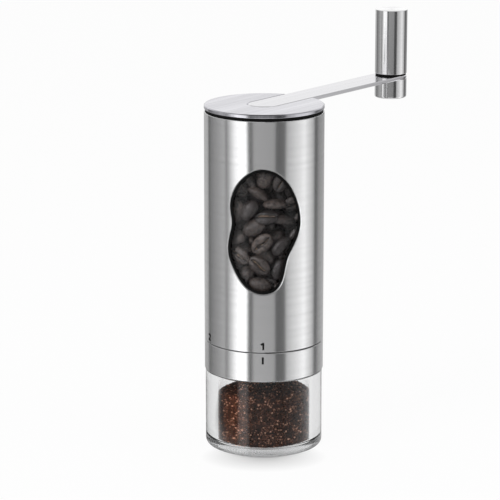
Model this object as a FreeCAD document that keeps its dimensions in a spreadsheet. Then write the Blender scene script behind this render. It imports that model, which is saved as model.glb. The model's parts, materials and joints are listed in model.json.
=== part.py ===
"""Hand crank coffee grinder, in millimetres.

The origin is the centre of the jar's underside. +Z runs up the drive axis and the window faces -Y.
At rest the crank arm points crank_angle degrees from +X towards +Y.
"""
import FreeCAD
import Part
import math
import os
import re
import Sketcher

# Driving sizes, in millimetres and degrees
SIZES = {
    # Outside
    "body_diameter": 53.0,
    "sheet_wall": 0.8,
    "sleeve_height": 102.9,
    "ring_height": 13.1,
    "edge_round": 0.3,
    # Play between pieces
    "running_gap": 0.3,
    "shaft_clearance": 0.05,
    "press_clearance": 0.05,
    "thread_clearance": 0.1,
    # Window
    "window_width": 31.6,
    "window_height": 55.3,
    "window_rise": 54.1,
    "window_bevel": 0.6,
    "gasket_width": 1.1,
    "gasket_recess": 0.4,
    "liner_wall": 2.2,
    # Jar
    "jar_height": 34.9,
    "jar_inset": 0.4,
    "jar_wall": 5.5,
    "jar_floor": 2.4,
    "jar_edge": 2.0,
    "neck_height": 6.3,
    "neck_wall": 2.4,
    "seal_wire": 1.6,
    "seal_rise": 3.0,
    # Adjusting ring and burr carrier
    "housing_wall": 2.0,
    "lip_reach": 0.8,
    "lip_height": 1.2,
    "lip_rise": 1.6,
    "collar_wall": 1.7,
    "collar_land": 2.0,
    "carrier_wall": 2.2,
    "carrier_floor": 1.2,
    "carrier_rim": 1.0,
    "seat_reach": 2.5,
    "lug_reach": 1.6,
    "lug_width": 5.0,
    "lug_height": 3.0,
    "retainer_thickness": 1.0,
    "retainer_reach": 2.0,
    "retainer_bite": 0.8,
    "retainer_opening": 6.0,
    "setting_pitch": 1.5,
    "setting_turn": 300.0,
    # Burrs
    "outer_burr_height": 12.0,
    "outer_burr_wall": 5.5,
    "outer_burr_taper": 0.8,
    "grind_gap": 0.4,
    "cone_height": 11.0,
    "cone_neck_wall": 2.5,
    "flute_depth": 1.2,
    "flute_width": 2.6,
    "flute_end_depth": 0.6,
    "flute_twist": 24.0,
    # Housing and bearing bridge
    "throat_lip": 4.0,
    "funnel_rise": 2.0,
    "funnel_land": 2.9,
    "bridge_thickness": 3.0,
    "bridge_land": 5.0,
    "spoke_width": 4.0,
    "hub_wall": 2.0,
    "hub_overhang": 2.5,
    "bush_wall": 1.5,
    "bush_flange": 0.8,
    "flange_reach": 1.2,
    "bridge_screw_bite": 3.2,
    # Drive shaft
    "shaft_diameter": 7.0,
    "hex_across": 6.0,
    "hex_clearance": 0.1,
    "hex_relief": 0.3,
    "bolt_diameter": 4.0,
    "washer_thickness": 0.8,
    "burr_washer_diameter": 12.0,
    "nut_height": 3.2,
    "nut_across": 7.0,
    "bolt_tip": 0.7,
    "clip_thickness": 0.8,
    "clip_bite": 0.7,
    "clip_reach": 1.6,
    "clip_opening": 3.0,
    "spring_wire": 0.9,
    # Lid
    "plate_thickness": 1.7,
    "plate_bevel": 0.4,
    "slot_gap": 0.15,
    "flange_thickness": 1.0,
    "flange_inset": 0.5,
    "plug_depth": 6.0,
    "plug_wall": 2.0,
    "plug_web": 2.2,
    "socket_length": 10.0,
    "socket_wall": 2.0,
    "socket_cap": 1.5,
    "boss_wall": 2.0,
    # Screws
    "screw_diameter": 2.5,
    "screw_head_diameter": 4.4,
    "screw_head_height": 1.6,
    "screw_bite": 1.0,
    "screw_inset": 0.8,
    # Crank and grip
    "crank_radius": 96.5,
    "crank_angle": 52.25,
    "arm_width": 14.7,
    "grip_diameter": 14.8,
    "grip_length": 30.0,
    "grip_gap": 0.7,
    "grip_wall": 1.0,
    "grip_cap": 2.0,
    "grip_bush_length": 6.0,
    "foot_height": 8.9,
    "foot_edge": 0.8,
    "axle_diameter": 6.0,
    "axle_head_diameter": 10.0,
    "axle_head_height": 2.0,
    "axle_head_recess": 0.4,
    "axle_tip": 1.0,
}

# Radii and levels that follow from the driving sizes
FITS = {
    # Levels up the axis, from the jar to the lid
    "ring_bottom": "jar_height + running_gap",
    "ring_top": "ring_bottom + ring_height",
    "sleeve_bottom": "ring_top + running_gap",
    "sleeve_top": "sleeve_bottom + sleeve_height",
    "flange_bottom": "sleeve_top + running_gap",
    "lid_bottom": "flange_bottom + flange_thickness",
    "lid_top": "lid_bottom + plate_thickness",
    # Sleeve, window and liner
    "body_radius": "body_diameter / 2",
    "sleeve_bore": "body_radius - sheet_wall",
    "insert_radius": "sleeve_bore - press_clearance",
    "window_centre": "sleeve_bottom + window_rise",
    "gasket_face": "body_radius - gasket_recess",
    "liner_bore": "insert_radius - liner_wall",
    "liner_top": "sleeve_top - running_gap",
    # Jar and its seal
    "jar_radius": "body_radius - jar_inset",
    "jar_bore": "jar_radius - jar_wall",
    "neck_radius": "jar_bore + neck_wall",
    "neck_top": "jar_height + neck_height",
    "neck_socket": "neck_radius + running_gap",
    "seal_level": "jar_height + seal_rise",
    "seal_seat": "neck_socket - thread_clearance - seal_wire",
    "seal_bottom": "seal_level - seal_wire / 2 - press_clearance",
    "seal_top": "seal_level + seal_wire / 2 + press_clearance",
    # Ring insert, from the housing's wall inwards
    "lip_groove": "insert_radius - housing_wall",
    "lip_radius": "lip_groove - running_gap",
    "collar_radius": "lip_radius - lip_reach",
    "housing_bore": "collar_radius + running_gap",
    "thread_bore": "collar_radius - collar_wall",
    "thread_radius": "thread_bore - thread_clearance",
    "groove_bottom": "sleeve_bottom + lip_rise",
    "lip_bottom": "groove_bottom + running_gap",
    "lip_top": "lip_bottom + lip_height",
    "groove_top": "lip_top + running_gap",
    "collar_top": "lip_top + collar_land",
    "shelf": "neck_top + running_gap",
    "shoulder": "collar_top + running_gap",
    # Burr carrier and outer burr
    "burr_pocket": "thread_radius - carrier_wall",
    "outer_burr_radius": "burr_pocket - press_clearance",
    "burr_exit": "outer_burr_radius - outer_burr_wall",
    "burr_mouth": "burr_exit - outer_burr_taper",
    "seat_opening": "burr_pocket - seat_reach",
    "carrier_bottom": "shelf + running_gap",
    "burr_seat": "carrier_bottom + carrier_floor",
    "burr_top": "burr_seat + outer_burr_height",
    "retainer_groove": "burr_pocket + retainer_bite",
    "retainer_radius": "retainer_groove - press_clearance",
    "retainer_bore": "burr_pocket - retainer_reach",
    "retainer_top": "burr_top + retainer_thickness",
    "groove_ceiling": "retainer_top + press_clearance",
    "lug_bottom": "shoulder + running_gap",
    "carrier_top": "max(groove_ceiling + carrier_rim; lug_bottom + lug_height)",
    "lug_radius": "thread_radius + lug_reach",
    "key_bore": "thread_radius + running_gap",
    "key_radius": "lug_radius + running_gap",
    "key_width": "lug_width + 2 * running_gap",
    "carrier_travel": "setting_pitch * setting_turn / 360",
    # Housing and bearing bridge
    "ceiling": "carrier_top + carrier_travel + 2 * running_gap",
    "bridge_seat": "ceiling + throat_lip",
    "bridge_top": "bridge_seat + bridge_thickness",
    "housing_top": "bridge_top + funnel_rise",
    "bridge_pocket": "liner_bore - funnel_land",
    "bridge_radius": "bridge_pocket - press_clearance",
    "throat_radius": "bridge_radius - bridge_land",
    "hub_bottom": "bridge_seat - hub_overhang",
    "hub_top": "bridge_top + hub_overhang",
    "hub_middle": "(hub_bottom + hub_top) / 2",
    "shaft_radius": "shaft_diameter / 2",
    "bush_bore": "shaft_radius + shaft_clearance",
    "bush_radius": "bush_bore + bush_wall",
    "bush_flange_radius": "bush_radius + flange_reach",
    "hub_bore": "bush_radius + press_clearance",
    "hub_radius": "hub_bore + hub_wall",
    "bush_top": "hub_top + bush_flange",
    "bush_bottom": "hub_bottom - bush_flange",
    "bridge_screw_circle": "throat_radius + bridge_land / 2",
    "bridge_screw_tip": "bridge_seat - bridge_screw_bite",
    "screw_radius": "screw_diameter / 2",
    "screw_hole": "screw_radius + press_clearance",
    "screw_head_radius": "screw_head_diameter / 2",
    # Drive shaft and cone
    "cone_bottom": "burr_seat",
    "cone_top": "cone_bottom + cone_height",
    "cone_radius": "burr_exit - grind_gap",
    "hex_corner": "hex_across / sqrt(3)",
    "cone_neck": "hex_corner + cone_neck_wall",
    "bolt_radius": "bolt_diameter / 2",
    "bolt_hole": "bolt_radius + press_clearance",
    "burr_washer_bottom": "cone_bottom - washer_thickness",
    "nut_bottom": "burr_washer_bottom - nut_height",
    "shaft_bottom": "nut_bottom - bolt_tip",
    "thrust_bottom": "bush_top + running_gap",
    "thrust_top": "thrust_bottom + washer_thickness",
    "shaft_clip_top": "thrust_top + clip_thickness",
    "shaft_clip_bore": "shaft_radius - clip_bite + press_clearance",
    "socket_bottom": "lid_bottom - socket_length",
    "socket_ceiling": "lid_bottom - socket_cap",
    "hex_start": "socket_bottom - running_gap",
    "shaft_top": "socket_ceiling - running_gap",
    "spring_radius": "shaft_radius + running_gap + spring_wire / 2",
    "spring_bottom": "cone_top + press_clearance + spring_wire / 2",
    "spring_top": "bush_bottom - running_gap - spring_wire / 2",
    # Lid plug and drive socket
    "flange_radius": "body_radius - flange_inset",
    "plug_radius": "liner_bore - running_gap",
    "plug_bore": "plug_radius - plug_wall",
    "plug_bottom": "flange_bottom - plug_depth",
    "web_bottom": "flange_bottom - plug_web",
    "socket_hex": "hex_across + 2 * hex_clearance",
    "socket_radius": "socket_hex / sqrt(3) + socket_wall",
    "boss_bore": "socket_radius + press_clearance",
    "boss_radius": "boss_bore + boss_wall",
    "screw_circle": "plug_bore - screw_inset - screw_head_radius",
    "screw_tip": "lid_bottom + screw_bite",
    # Crank arm and grip
    "arm_half": "arm_width / 2",
    "slot_half": "arm_half + slot_gap",
    "grip_x": "crank_radius * cos(crank_angle)",
    "grip_y": "crank_radius * sin(crank_angle)",
    "grip_radius": "grip_diameter / 2",
    "grip_bore": "grip_radius - grip_wall",
    "grip_bush_radius": "grip_bore - press_clearance",
    "grip_bottom": "lid_top + grip_gap",
    "grip_washer_top": "grip_bottom - running_gap",
    "grip_washer_radius": "grip_radius - edge_round",
    "grip_top": "grip_bottom + grip_length",
    "grip_ceiling": "grip_top - grip_cap",
    "axle_radius": "axle_diameter / 2",
    "axle_hole": "axle_radius + press_clearance",
    "axle_bush_bore": "axle_radius + shaft_clearance",
    "axle_head_radius": "axle_head_diameter / 2",
    "axle_head_pocket": "axle_head_radius + press_clearance",
    "foot_bottom": "lid_bottom - foot_height",
    "axle_head_bottom": "foot_bottom + axle_head_recess",
    "axle_head_seat": "axle_head_bottom + axle_head_height",
    "axle_top": "grip_ceiling - running_gap",
    "axle_clip_top": "axle_top - axle_tip",
    "axle_clip_bottom": "axle_clip_top - clip_thickness",
    "axle_clip_bore": "axle_radius - clip_bite + press_clearance",
    "axle_clip_radius": "axle_radius + clip_reach",
    "upper_bush_top": "axle_clip_bottom - running_gap",
    "upper_bush_bottom": "upper_bush_top - grip_bush_length",
    "lower_bush_top": "grip_bottom + grip_bush_length",
}

# The window's bean outline, as shares of its half width and half height, clockwise from the top
BEAN_OUTLINE = [
    (-0.05, 1.0),
    (0.39, 0.92),
    (0.76, 0.67),
    (0.975, 0.31),
    (0.985, 0.03),
    (0.83, -0.22),
    (0.64, -0.45),
    (0.53, -0.73),
    (0.34, -0.93),
    (-0.05, -1.0),
    (-0.47, -0.91),
    (-0.79, -0.67),
    (-0.98, -0.38),
    (-0.95, -0.1),
    (-0.88, 0.13),
    (-0.93, 0.38),
    (-0.84, 0.62),
    (-0.46, 0.91),
]

SPOKES = 3
LUGS = 3
CONE_FLUTES = 9
RING_FLUTES = 14
SPRING_TURNS = 3
QUARTERS_PER_TURN = 4

# Directions of the lid's screws from the arm: two hold the arm and three the plate
ARM_SCREWS = (-10, 10)
PLATE_SCREWS = (90, 180, 270)

doc = FreeCAD.newDocument("coffee_grinder")


def fill_sheet(name, cells):
    """Makes a sheet with a label and an aliased value in each row."""
    sheet = doc.addObject("Spreadsheet::Sheet", name)
    for row, (alias, content) in enumerate(cells.items(), 1):
        sheet.set(f"A{row}", alias)
        sheet.set(f"B{row}", content)
        sheet.setAlias(f"B{row}", alias)
    doc.recompute()
    return sheet


def ref(formula):
    """Writes the size names in a formula out as references to their sheets."""
    def place(match):
        word = match.group()
        if word in SIZES:
            return "Sizes." + word
        if word in FITS:
            return "Fits." + word
        return word
    return re.sub(r"[a-z]\w*", place, formula)


sizes = fill_sheet("Sizes", {name: str(value) for name, value in SIZES.items()})
fits = fill_sheet("Fits", {name: "=" + ref(formula) for name, formula in FITS.items()})


def number(formula):
    """The value of a formula of size names."""
    return float(fits.evalExpression(ref(formula)))


# Sketches

def new_body(label):
    body = doc.addObject("PartDesign::Body", label)
    body.Label = label
    return body


def new_sketch(body, plane_role, level=None):
    """A sketch on one of the body's origin planes, raised to a level along the plane's normal."""
    sketch = body.newObject("Sketcher::SketchObject", body.Label + "_sketch")
    planes = {feature.Role: feature for feature in body.Origin.OriginFeatures}
    sketch.AttachmentSupport = (planes[plane_role], "")
    sketch.MapMode = "FlatFace"
    if level:
        sketch.setExpression("AttachmentOffset.Base.z", ref(level))
    return sketch


def pin_point(sketch, geometry, point, x, y):
    """Holds a sketch point at the place that two formulas give."""
    for kind, axis, formula in (("DistanceX", -2, x), ("DistanceY", -1, y)):
        value = number(formula)
        if abs(value) < 1e-9:
            sketch.addConstraint(Sketcher.Constraint("PointOnObject", geometry, point, axis))
        elif value > 0:
            index = sketch.addConstraint(Sketcher.Constraint(kind, -1, 1, geometry, point, value))
            sketch.setExpression(f"Constraints[{index}]", ref(formula))
        else:
            index = sketch.addConstraint(Sketcher.Constraint(kind, geometry, point, -1, 1, -value))
            sketch.setExpression(f"Constraints[{index}]", f"-({ref(formula)})")


def towards(corner, other, radius):
    """The point at a fillet's radius from a square corner on the way to another corner."""
    steps = [number(b) - number(a) for a, b in zip(corner[:2], other[:2])]
    signs = [0 if abs(step) < 1e-9 else int(math.copysign(1, step)) for step in steps]
    return tuple(f"{value} + {sign} * ({radius})" for value, sign in zip(corner[:2], signs))


def draw_outline(sketch, corners):
    """Draws a closed outline of lines. A corner (x, y, radius) is square and gets an arc."""
    points = []
    arcs = {}
    count = len(corners)
    for index, corner in enumerate(corners):
        if len(corner) == 2:
            points.append(corner)
            continue
        before = corners[index - 1]
        after = corners[(index + 1) % count]
        arcs[len(points)] = corner
        points.append(towards(corner, before, corner[2]))
        points.append(towards(corner, after, corner[2]))
    total = len(points)
    places = [FreeCAD.Vector(number(x), number(y), 0) for x, y in points]
    for index, start in enumerate(places):
        end = places[(index + 1) % total]
        if index in arcs:
            corner = FreeCAD.Vector(number(arcs[index][0]), number(arcs[index][1]), 0)
            centre = start + end - corner
            radius = (start - centre).Length
            middle = centre + (corner - centre).normalize() * radius
            sketch.addGeometry(Part.Arc(start, middle, end), False)
        else:
            sketch.addGeometry(Part.LineSegment(start, end), False)
    ends = [end_points(sketch, index, places[index]) for index in range(total)]
    for index in range(total):
        follower = (index + 1) % total
        sketch.addConstraint(
            Sketcher.Constraint("Coincident", index, ends[index][1], follower, ends[follower][0]))
    for index, (x, y) in enumerate(points):
        pin_point(sketch, index, ends[index][0], x, y)
    for index, corner in arcs.items():
        arc = sketch.Geometry[index]
        row = sketch.addConstraint(Sketcher.Constraint("Radius", index, arc.Radius))
        sketch.setExpression(f"Constraints[{row}]", ref(corner[2]))


def end_points(sketch, index, start):
    """The numbers of a sketch element's first and last points, as the outline runs."""
    if (sketch.getPoint(index, 1) - start).Length < 1e-6:
        return 1, 2
    return 2, 1


def draw_circle(sketch, x, y, radius):
    centre = FreeCAD.Vector(number(x), number(y), 0)
    index = sketch.addGeometry(Part.Circle(centre, FreeCAD.Vector(0, 0, 1), number(radius)), False)
    pin_point(sketch, index, 3, x, y)
    row = sketch.addConstraint(Sketcher.Constraint("Radius", index, number(radius)))
    sketch.setExpression(f"Constraints[{row}]", ref(radius))


def draw_rectangle(sketch, x_low, x_high, half_width):
    draw_outline(sketch, [
        (x_low, f"-({half_width})"),
        (x_high, f"-({half_width})"),
        (x_high, half_width),
        (x_low, half_width),
    ])


def draw_hexagon(sketch, across):
    corner = f"({across}) / sqrt(3)"
    draw_outline(sketch, [
        (corner, "0"),
        (f"{corner} / 2", f"({across}) / 2"),
        (f"-{corner} / 2", f"({across}) / 2"),
        (f"-{corner}", "0"),
        (f"-{corner} / 2", f"-({across}) / 2"),
        (f"{corner} / 2", f"-({across}) / 2"),
    ])


# Features

def add_turn(body, corners):
    """Turns an outline of (radius, height) corners about the Z axis."""
    sketch = new_sketch(body, "XZ_Plane")
    draw_outline(sketch, corners)
    turn = body.newObject("PartDesign::Revolution", body.Label + "_turn")
    turn.Profile = sketch
    turn.ReferenceAxis = (sketch, ["V_Axis"])
    turn.Angle = 360
    doc.recompute()
    return turn


def turned(label, corners):
    body = new_body(label)
    add_turn(body, corners)
    return body


def tube(label, inner, outer, bottom, top):
    return turned(label, [(inner, bottom), (outer, bottom), (outer, top), (inner, top)])


def add_pad(body, sketch, bottom, top):
    pad = body.newObject("PartDesign::Pad", body.Label + "_pad")
    pad.Profile = sketch
    pad.setExpression("Length", ref(f"{top} - ({bottom})"))
    doc.recompute()
    return pad


def add_pocket(body, sketch, bottom, top):
    """Cuts a sketch upwards from its level, and makes sure that it cut."""
    before = body.Shape.Volume
    pocket = body.newObject("PartDesign::Pocket", body.Label + "_pocket")
    pocket.Profile = sketch
    pocket.Reversed = True
    pocket.setExpression("Length", ref(f"{top} - ({bottom})"))
    doc.recompute()
    if body.Shape.Volume >= before:
        raise RuntimeError(body.Label + ": a pocket cut nothing")
    return pocket


def cut_circles(body, places, radius, bottom, top):
    """Cuts round holes at (x, y) places."""
    sketch = new_sketch(body, "XY_Plane", bottom)
    for x, y in places:
        draw_circle(sketch, x, y, radius)
    return add_pocket(body, sketch, bottom, top)


def cut_hexagon(body, across, bottom, top):
    sketch = new_sketch(body, "XY_Plane", bottom)
    draw_hexagon(sketch, across)
    return add_pocket(body, sketch, bottom, top)


def cut_block(body, x_low, x_high, half_width, bottom, top):
    sketch = new_sketch(body, "XY_Plane", bottom)
    draw_rectangle(sketch, x_low, x_high, half_width)
    return add_pocket(body, sketch, bottom, top)


def repeat_around(body, feature, count):
    """Repeats a feature evenly about the Z axis."""
    pattern = body.newObject("PartDesign::PolarPattern", body.Label + "_pattern")
    pattern.Originals = [feature]
    axes = {origin.Role: origin for origin in body.Origin.OriginFeatures}
    pattern.Axis = (axes["Z_Axis"], [""])
    pattern.Angle = 360
    pattern.Occurrences = count
    body.Tip = pattern
    doc.recompute()
    return pattern


def cut_flutes(body, top_section, bottom_section, count):
    """Cuts grooves from a section above the body to one below it, evenly about the Z axis."""
    before = body.Shape.Volume
    sketches = []
    for level, corners in (top_section, bottom_section):
        sketch = new_sketch(body, "XY_Plane", level)
        draw_outline(sketch, corners)
        sketches.append(sketch)
    loft = body.newObject("PartDesign::SubtractiveLoft", body.Label + "_flute")
    loft.Profile = sketches[0]
    loft.Sections = sketches[1:]
    loft.Ruled = True
    doc.recompute()
    repeat_around(body, loft, count)
    if body.Shape.Volume >= before:
        raise RuntimeError(body.Label + ": the flutes cut nothing")


def bevel_edges(body, chosen, size):
    """Chamfers the body's edges that a test chooses."""
    base = body.Tip
    names = [f"Edge{index}" for index, edge in enumerate(base.Shape.Edges, 1) if chosen(edge)]
    bevel = body.newObject("PartDesign::Chamfer", body.Label + "_bevel")
    bevel.Base = (base, names)
    bevel.setExpression("Size", ref(size))
    doc.recompute()
    return bevel


def lies_at(*levels):
    """A test for edges that lie flat at one of the given levels."""
    heights = [number(level) for level in levels]

    def chosen(edge):
        box = edge.BoundBox
        return any(max(abs(box.ZMin - height), abs(box.ZMax - height)) < 1e-6 for height in heights)
    return chosen


def turn_to_crank(piece):
    """Turns a piece made along +X to the arm's direction."""
    piece.Placement = FreeCAD.Placement(
        FreeCAD.Vector(0, 0, 0), FreeCAD.Rotation(FreeCAD.Vector(0, 0, 1), number("crank_angle")))
    piece.setExpression("Placement.Rotation.Angle", ref("crank_angle"))


def move_to_grip(piece):
    """Moves a piece made about the Z axis to the grip's axis."""
    piece.setExpression("Placement.Base.x", ref("grip_x"))
    piece.setExpression("Placement.Base.y", ref("grip_y"))


def on_circle(radius, degrees):
    return f"{radius} * cos({degrees})", f"{radius} * sin({degrees})"


def screw_group(label, circle, directions, head_bottom, head_top, tip):
    """Screws on a circle about the Z axis, each a head and a shank that runs on to its tip."""
    shank_start = head_top if number(tip) > number(head_top) else tip
    shank_end = tip if number(tip) > number(head_top) else head_bottom
    screws = []
    for direction in directions:
        solids = []
        for radius, bottom, top in (
            ("screw_head_radius", head_bottom, head_top),
            ("screw_radius", shank_start, shank_end),
        ):
            solid = doc.addObject("Part::Cylinder", label + "_cylinder")
            solid.setExpression("Radius", ref(radius))
            solid.setExpression("Height", ref(f"{top} - ({bottom})"))
            x, y = on_circle(circle, direction)
            for axis, place in (("x", x), ("y", y), ("z", bottom)):
                solid.setExpression("Placement.Base." + axis, ref(place))
            solids.append(solid)
        screw = doc.addObject("Part::MultiFuse", label + "_screw")
        screw.Shapes = solids
        screws.append(screw)
    group = doc.addObject("Part::Compound", label)
    group.Label = label
    group.Links = screws
    doc.recompute()
    return group


def clip(label, bore, radius, bottom, top, opening):
    """A flat retaining ring with a gap towards +X."""
    body = tube(label, bore, radius, bottom, top)
    cut_block(body, "0", f"2 * ({radius})", f"({opening}) / 2", bottom, top)
    return body


# Jar

def make_jar():
    return turned("jar", [
        ("0", "0"),
        ("jar_radius", "0", "jar_edge"),
        ("jar_radius", "jar_height", "edge_round"),
        ("neck_radius", "jar_height"),
        ("neck_radius", "seal_bottom"),
        ("seal_seat", "seal_bottom"),
        ("seal_seat", "seal_top"),
        ("neck_radius", "seal_top"),
        ("neck_radius", "neck_top", "edge_round"),
        ("jar_bore", "neck_top", "edge_round"),
        ("jar_bore", "jar_floor", "jar_edge"),
        ("0", "jar_floor"),
    ])


def make_jar_seal():
    seal = doc.addObject("Part::Torus", "jar_seal")
    seal.Label = "jar_seal"
    seal.setExpression("Radius1", ref("seal_seat + seal_wire / 2"))
    seal.setExpression("Radius2", ref("seal_wire / 2"))
    seal.setExpression("Placement.Base.z", ref("seal_level"))
    return seal


# Adjusting ring and the outer burr that it screws up and down

def make_ring_shell():
    return turned("ring_shell", [
        ("sleeve_bore", "ring_bottom"),
        ("body_radius", "ring_bottom", "edge_round"),
        ("body_radius", "ring_top", "edge_round"),
        ("sleeve_bore", "ring_top"),
    ])


def make_ring_insert():
    return turned("ring_insert", [
        ("neck_socket", "ring_bottom"),
        ("insert_radius", "ring_bottom"),
        ("insert_radius", "ring_top"),
        ("collar_radius", "ring_top"),
        ("collar_radius", "lip_bottom"),
        ("lip_radius", "lip_bottom"),
        ("lip_radius", "lip_top"),
        ("collar_radius", "lip_top"),
        ("collar_radius", "collar_top"),
        ("thread_bore", "collar_top"),
        ("thread_bore", "shelf"),
        ("neck_socket", "shelf"),
    ])


def make_burr_carrier():
    body = turned("burr_carrier", [
        ("seat_opening", "carrier_bottom"),
        ("thread_radius", "carrier_bottom"),
        ("thread_radius", "carrier_top"),
        ("burr_pocket", "carrier_top"),
        ("burr_pocket", "groove_ceiling"),
        ("retainer_groove", "groove_ceiling"),
        ("retainer_groove", "burr_top"),
        ("burr_pocket", "burr_top"),
        ("burr_pocket", "burr_seat"),
        ("seat_opening", "burr_seat"),
    ])
    sketch = new_sketch(body, "XY_Plane", "lug_bottom")
    draw_rectangle(sketch, "thread_radius - carrier_wall / 4", "lug_radius", "lug_width / 2")
    lug = add_pad(body, sketch, "lug_bottom", "carrier_top")
    repeat_around(body, lug, LUGS)
    return body


def make_outer_burr():
    body = turned("outer_burr", [
        ("burr_exit", "burr_seat"),
        ("outer_burr_radius", "burr_seat"),
        ("outer_burr_radius", "burr_top"),
        ("burr_mouth", "burr_top"),
    ])
    cut_flutes(
        body,
        ("burr_top", [
            ("burr_mouth - flute_depth", "-flute_width / 2"),
            ("burr_mouth + flute_depth", "0"),
            ("burr_mouth - flute_depth", "flute_width / 2"),
        ]),
        ("burr_seat", [
            ("burr_exit - flute_depth", "-flute_width / 4"),
            ("burr_exit + flute_end_depth", "0"),
            ("burr_exit - flute_depth", "flute_width / 4"),
        ]),
        RING_FLUTES)
    return body


def make_burr_retainer():
    return clip("burr_retainer", "retainer_bore", "retainer_radius", "burr_top", "retainer_top",
                "retainer_opening")


# Cone, shaft and what holds them

def twisted(radius, side):
    """A place in the cone's lower section, turned by the flutes' twist."""
    return (
        f"({radius}) * cos(flute_twist) - ({side}) * sin(flute_twist)",
        f"({radius}) * sin(flute_twist) + ({side}) * cos(flute_twist)",
    )


def make_inner_burr():
    body = turned("inner_burr", [
        ("0", "cone_bottom"),
        ("cone_radius", "cone_bottom"),
        ("cone_neck", "cone_top"),
        ("0", "cone_top"),
    ])
    cut_hexagon(body, "hex_across + 2 * press_clearance", "cone_bottom", "cone_top")
    cut_flutes(
        body,
        ("cone_top", [
            ("cone_neck - flute_depth", "0"),
            ("cone_neck + flute_depth", "-flute_width / 2"),
            ("cone_neck + flute_depth", "flute_width / 2"),
        ]),
        ("cone_bottom", [
            twisted("cone_radius - flute_end_depth", "0"),
            twisted("cone_radius + flute_depth", "-flute_width / 2"),
            twisted("cone_radius + flute_depth", "flute_width / 2"),
        ]),
        CONE_FLUTES)
    return body


def make_drive_shaft():
    body = turned("drive_shaft", [
        ("0", "shaft_bottom"),
        ("bolt_radius", "shaft_bottom"),
        ("bolt_radius", "cone_top"),
        ("shaft_radius", "cone_top"),
        ("shaft_radius", "thrust_top"),
        ("shaft_radius - clip_bite", "thrust_top"),
        ("shaft_radius - clip_bite", "shaft_clip_top + press_clearance"),
        ("shaft_radius", "shaft_clip_top + press_clearance"),
        ("shaft_radius", "hex_start"),
        ("0", "hex_start"),
    ])
    for bottom, top in (("cone_bottom + hex_relief", "cone_top"), ("hex_start", "shaft_top")):
        sketch = new_sketch(body, "XY_Plane", bottom)
        draw_hexagon(sketch, "hex_across")
        add_pad(body, sketch, bottom, top)
    return body


def make_burr_nut():
    body = new_body("burr_nut")
    sketch = new_sketch(body, "XY_Plane", "nut_bottom")
    draw_hexagon(sketch, "nut_across")
    draw_circle(sketch, "0", "0", "bolt_hole")
    add_pad(body, sketch, "nut_bottom", "burr_washer_bottom")
    return body


def arc_between(start, corner, end):
    """The arc that leaves start towards corner and reaches end from it, both equally far."""
    chord_middle = (start + end) * 0.5
    half_chord = (end - start).Length / 2
    half_turn = math.atan2((corner - chord_middle).Length, half_chord)
    sagitta = half_chord * math.tan(half_turn / 2)
    middle = chord_middle + (corner - chord_middle).normalize() * sagitta
    return Part.Arc(start, middle, end).toShape()


def make_burr_spring():
    """A coil round the shaft, each quarter turn a pair of arcs that meet in line."""
    radius = number("spring_radius")
    wire_radius = number("spring_wire / 2")
    bottom = number("spring_bottom")
    rise = (number("spring_top") - bottom) / (2 * math.pi * SPRING_TURNS)

    def place(angle):
        return FreeCAD.Vector(radius * math.cos(angle), radius * math.sin(angle), bottom + rise * angle)

    def heading(angle):
        return FreeCAD.Vector(-radius * math.sin(angle), radius * math.cos(angle), rise).normalize()

    edges = []
    step = 2 * math.pi / QUARTERS_PER_TURN
    for quarter in range(SPRING_TURNS * QUARTERS_PER_TURN):
        first = quarter * step
        start, end = place(first), place(first + step)
        leave, arrive = heading(first), heading(first + step)
        span = end - start
        sum_of_headings = leave + arrive
        square = sum_of_headings.dot(sum_of_headings) - 4
        linear = span.dot(sum_of_headings)
        reach = (linear - math.sqrt(linear ** 2 - square * span.dot(span))) / square
        first_corner = start + leave * reach
        last_corner = end - arrive * reach
        joint = (first_corner + last_corner) * 0.5
        edges.append(arc_between(start, first_corner, joint))
        edges.append(arc_between(joint, last_corner, end))
    section = Part.Wire(Part.makeCircle(wire_radius, place(0), heading(0)))
    spring = doc.addObject("Part::Feature", "burr_spring")
    spring.Label = "burr_spring"
    spring.Shape = Part.Wire(edges).makePipeShell([section], True, False)
    pitch = 2 * math.pi * rise
    print(f"burr_spring: least gap between turns {pitch - 2 * wire_radius:.2f} mm")
    return spring


def make_shaft_bush(label, end_level, flange_level):
    """Half of the shaft's bearing, pressed into the hub with its flange outside."""
    return turned(label, [
        ("bush_bore", "hub_middle"),
        ("bush_radius", "hub_middle"),
        ("bush_radius", end_level),
        ("bush_flange_radius", end_level),
        ("bush_flange_radius", flange_level),
        ("bush_bore", flange_level),
    ])


def make_bearing_bridge():
    body = new_body("bearing_bridge")
    add_turn(body, [
        ("hub_bore", "hub_bottom"),
        ("hub_radius", "hub_bottom"),
        ("hub_radius", "hub_top"),
        ("hub_bore", "hub_top"),
    ])
    sketch = new_sketch(body, "XY_Plane", "bridge_seat")
    draw_rectangle(sketch, "hub_bore + hub_wall / 2", "throat_radius + bridge_land / 4", "spoke_width / 2")
    spoke = add_pad(body, sketch, "bridge_seat", "bridge_top")
    repeat_around(body, spoke, SPOKES)
    add_turn(body, [
        ("throat_radius", "bridge_seat"),
        ("bridge_radius", "bridge_seat"),
        ("bridge_radius", "bridge_top"),
        ("throat_radius", "bridge_top"),
    ])
    cut_circles(body, bridge_screw_places(), "screw_hole", "bridge_seat", "bridge_top")
    return body


def bridge_screw_directions():
    return [360 / SPOKES * spoke for spoke in range(SPOKES)]


def bridge_screw_places():
    return [on_circle("bridge_screw_circle", direction) for direction in bridge_screw_directions()]


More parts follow.
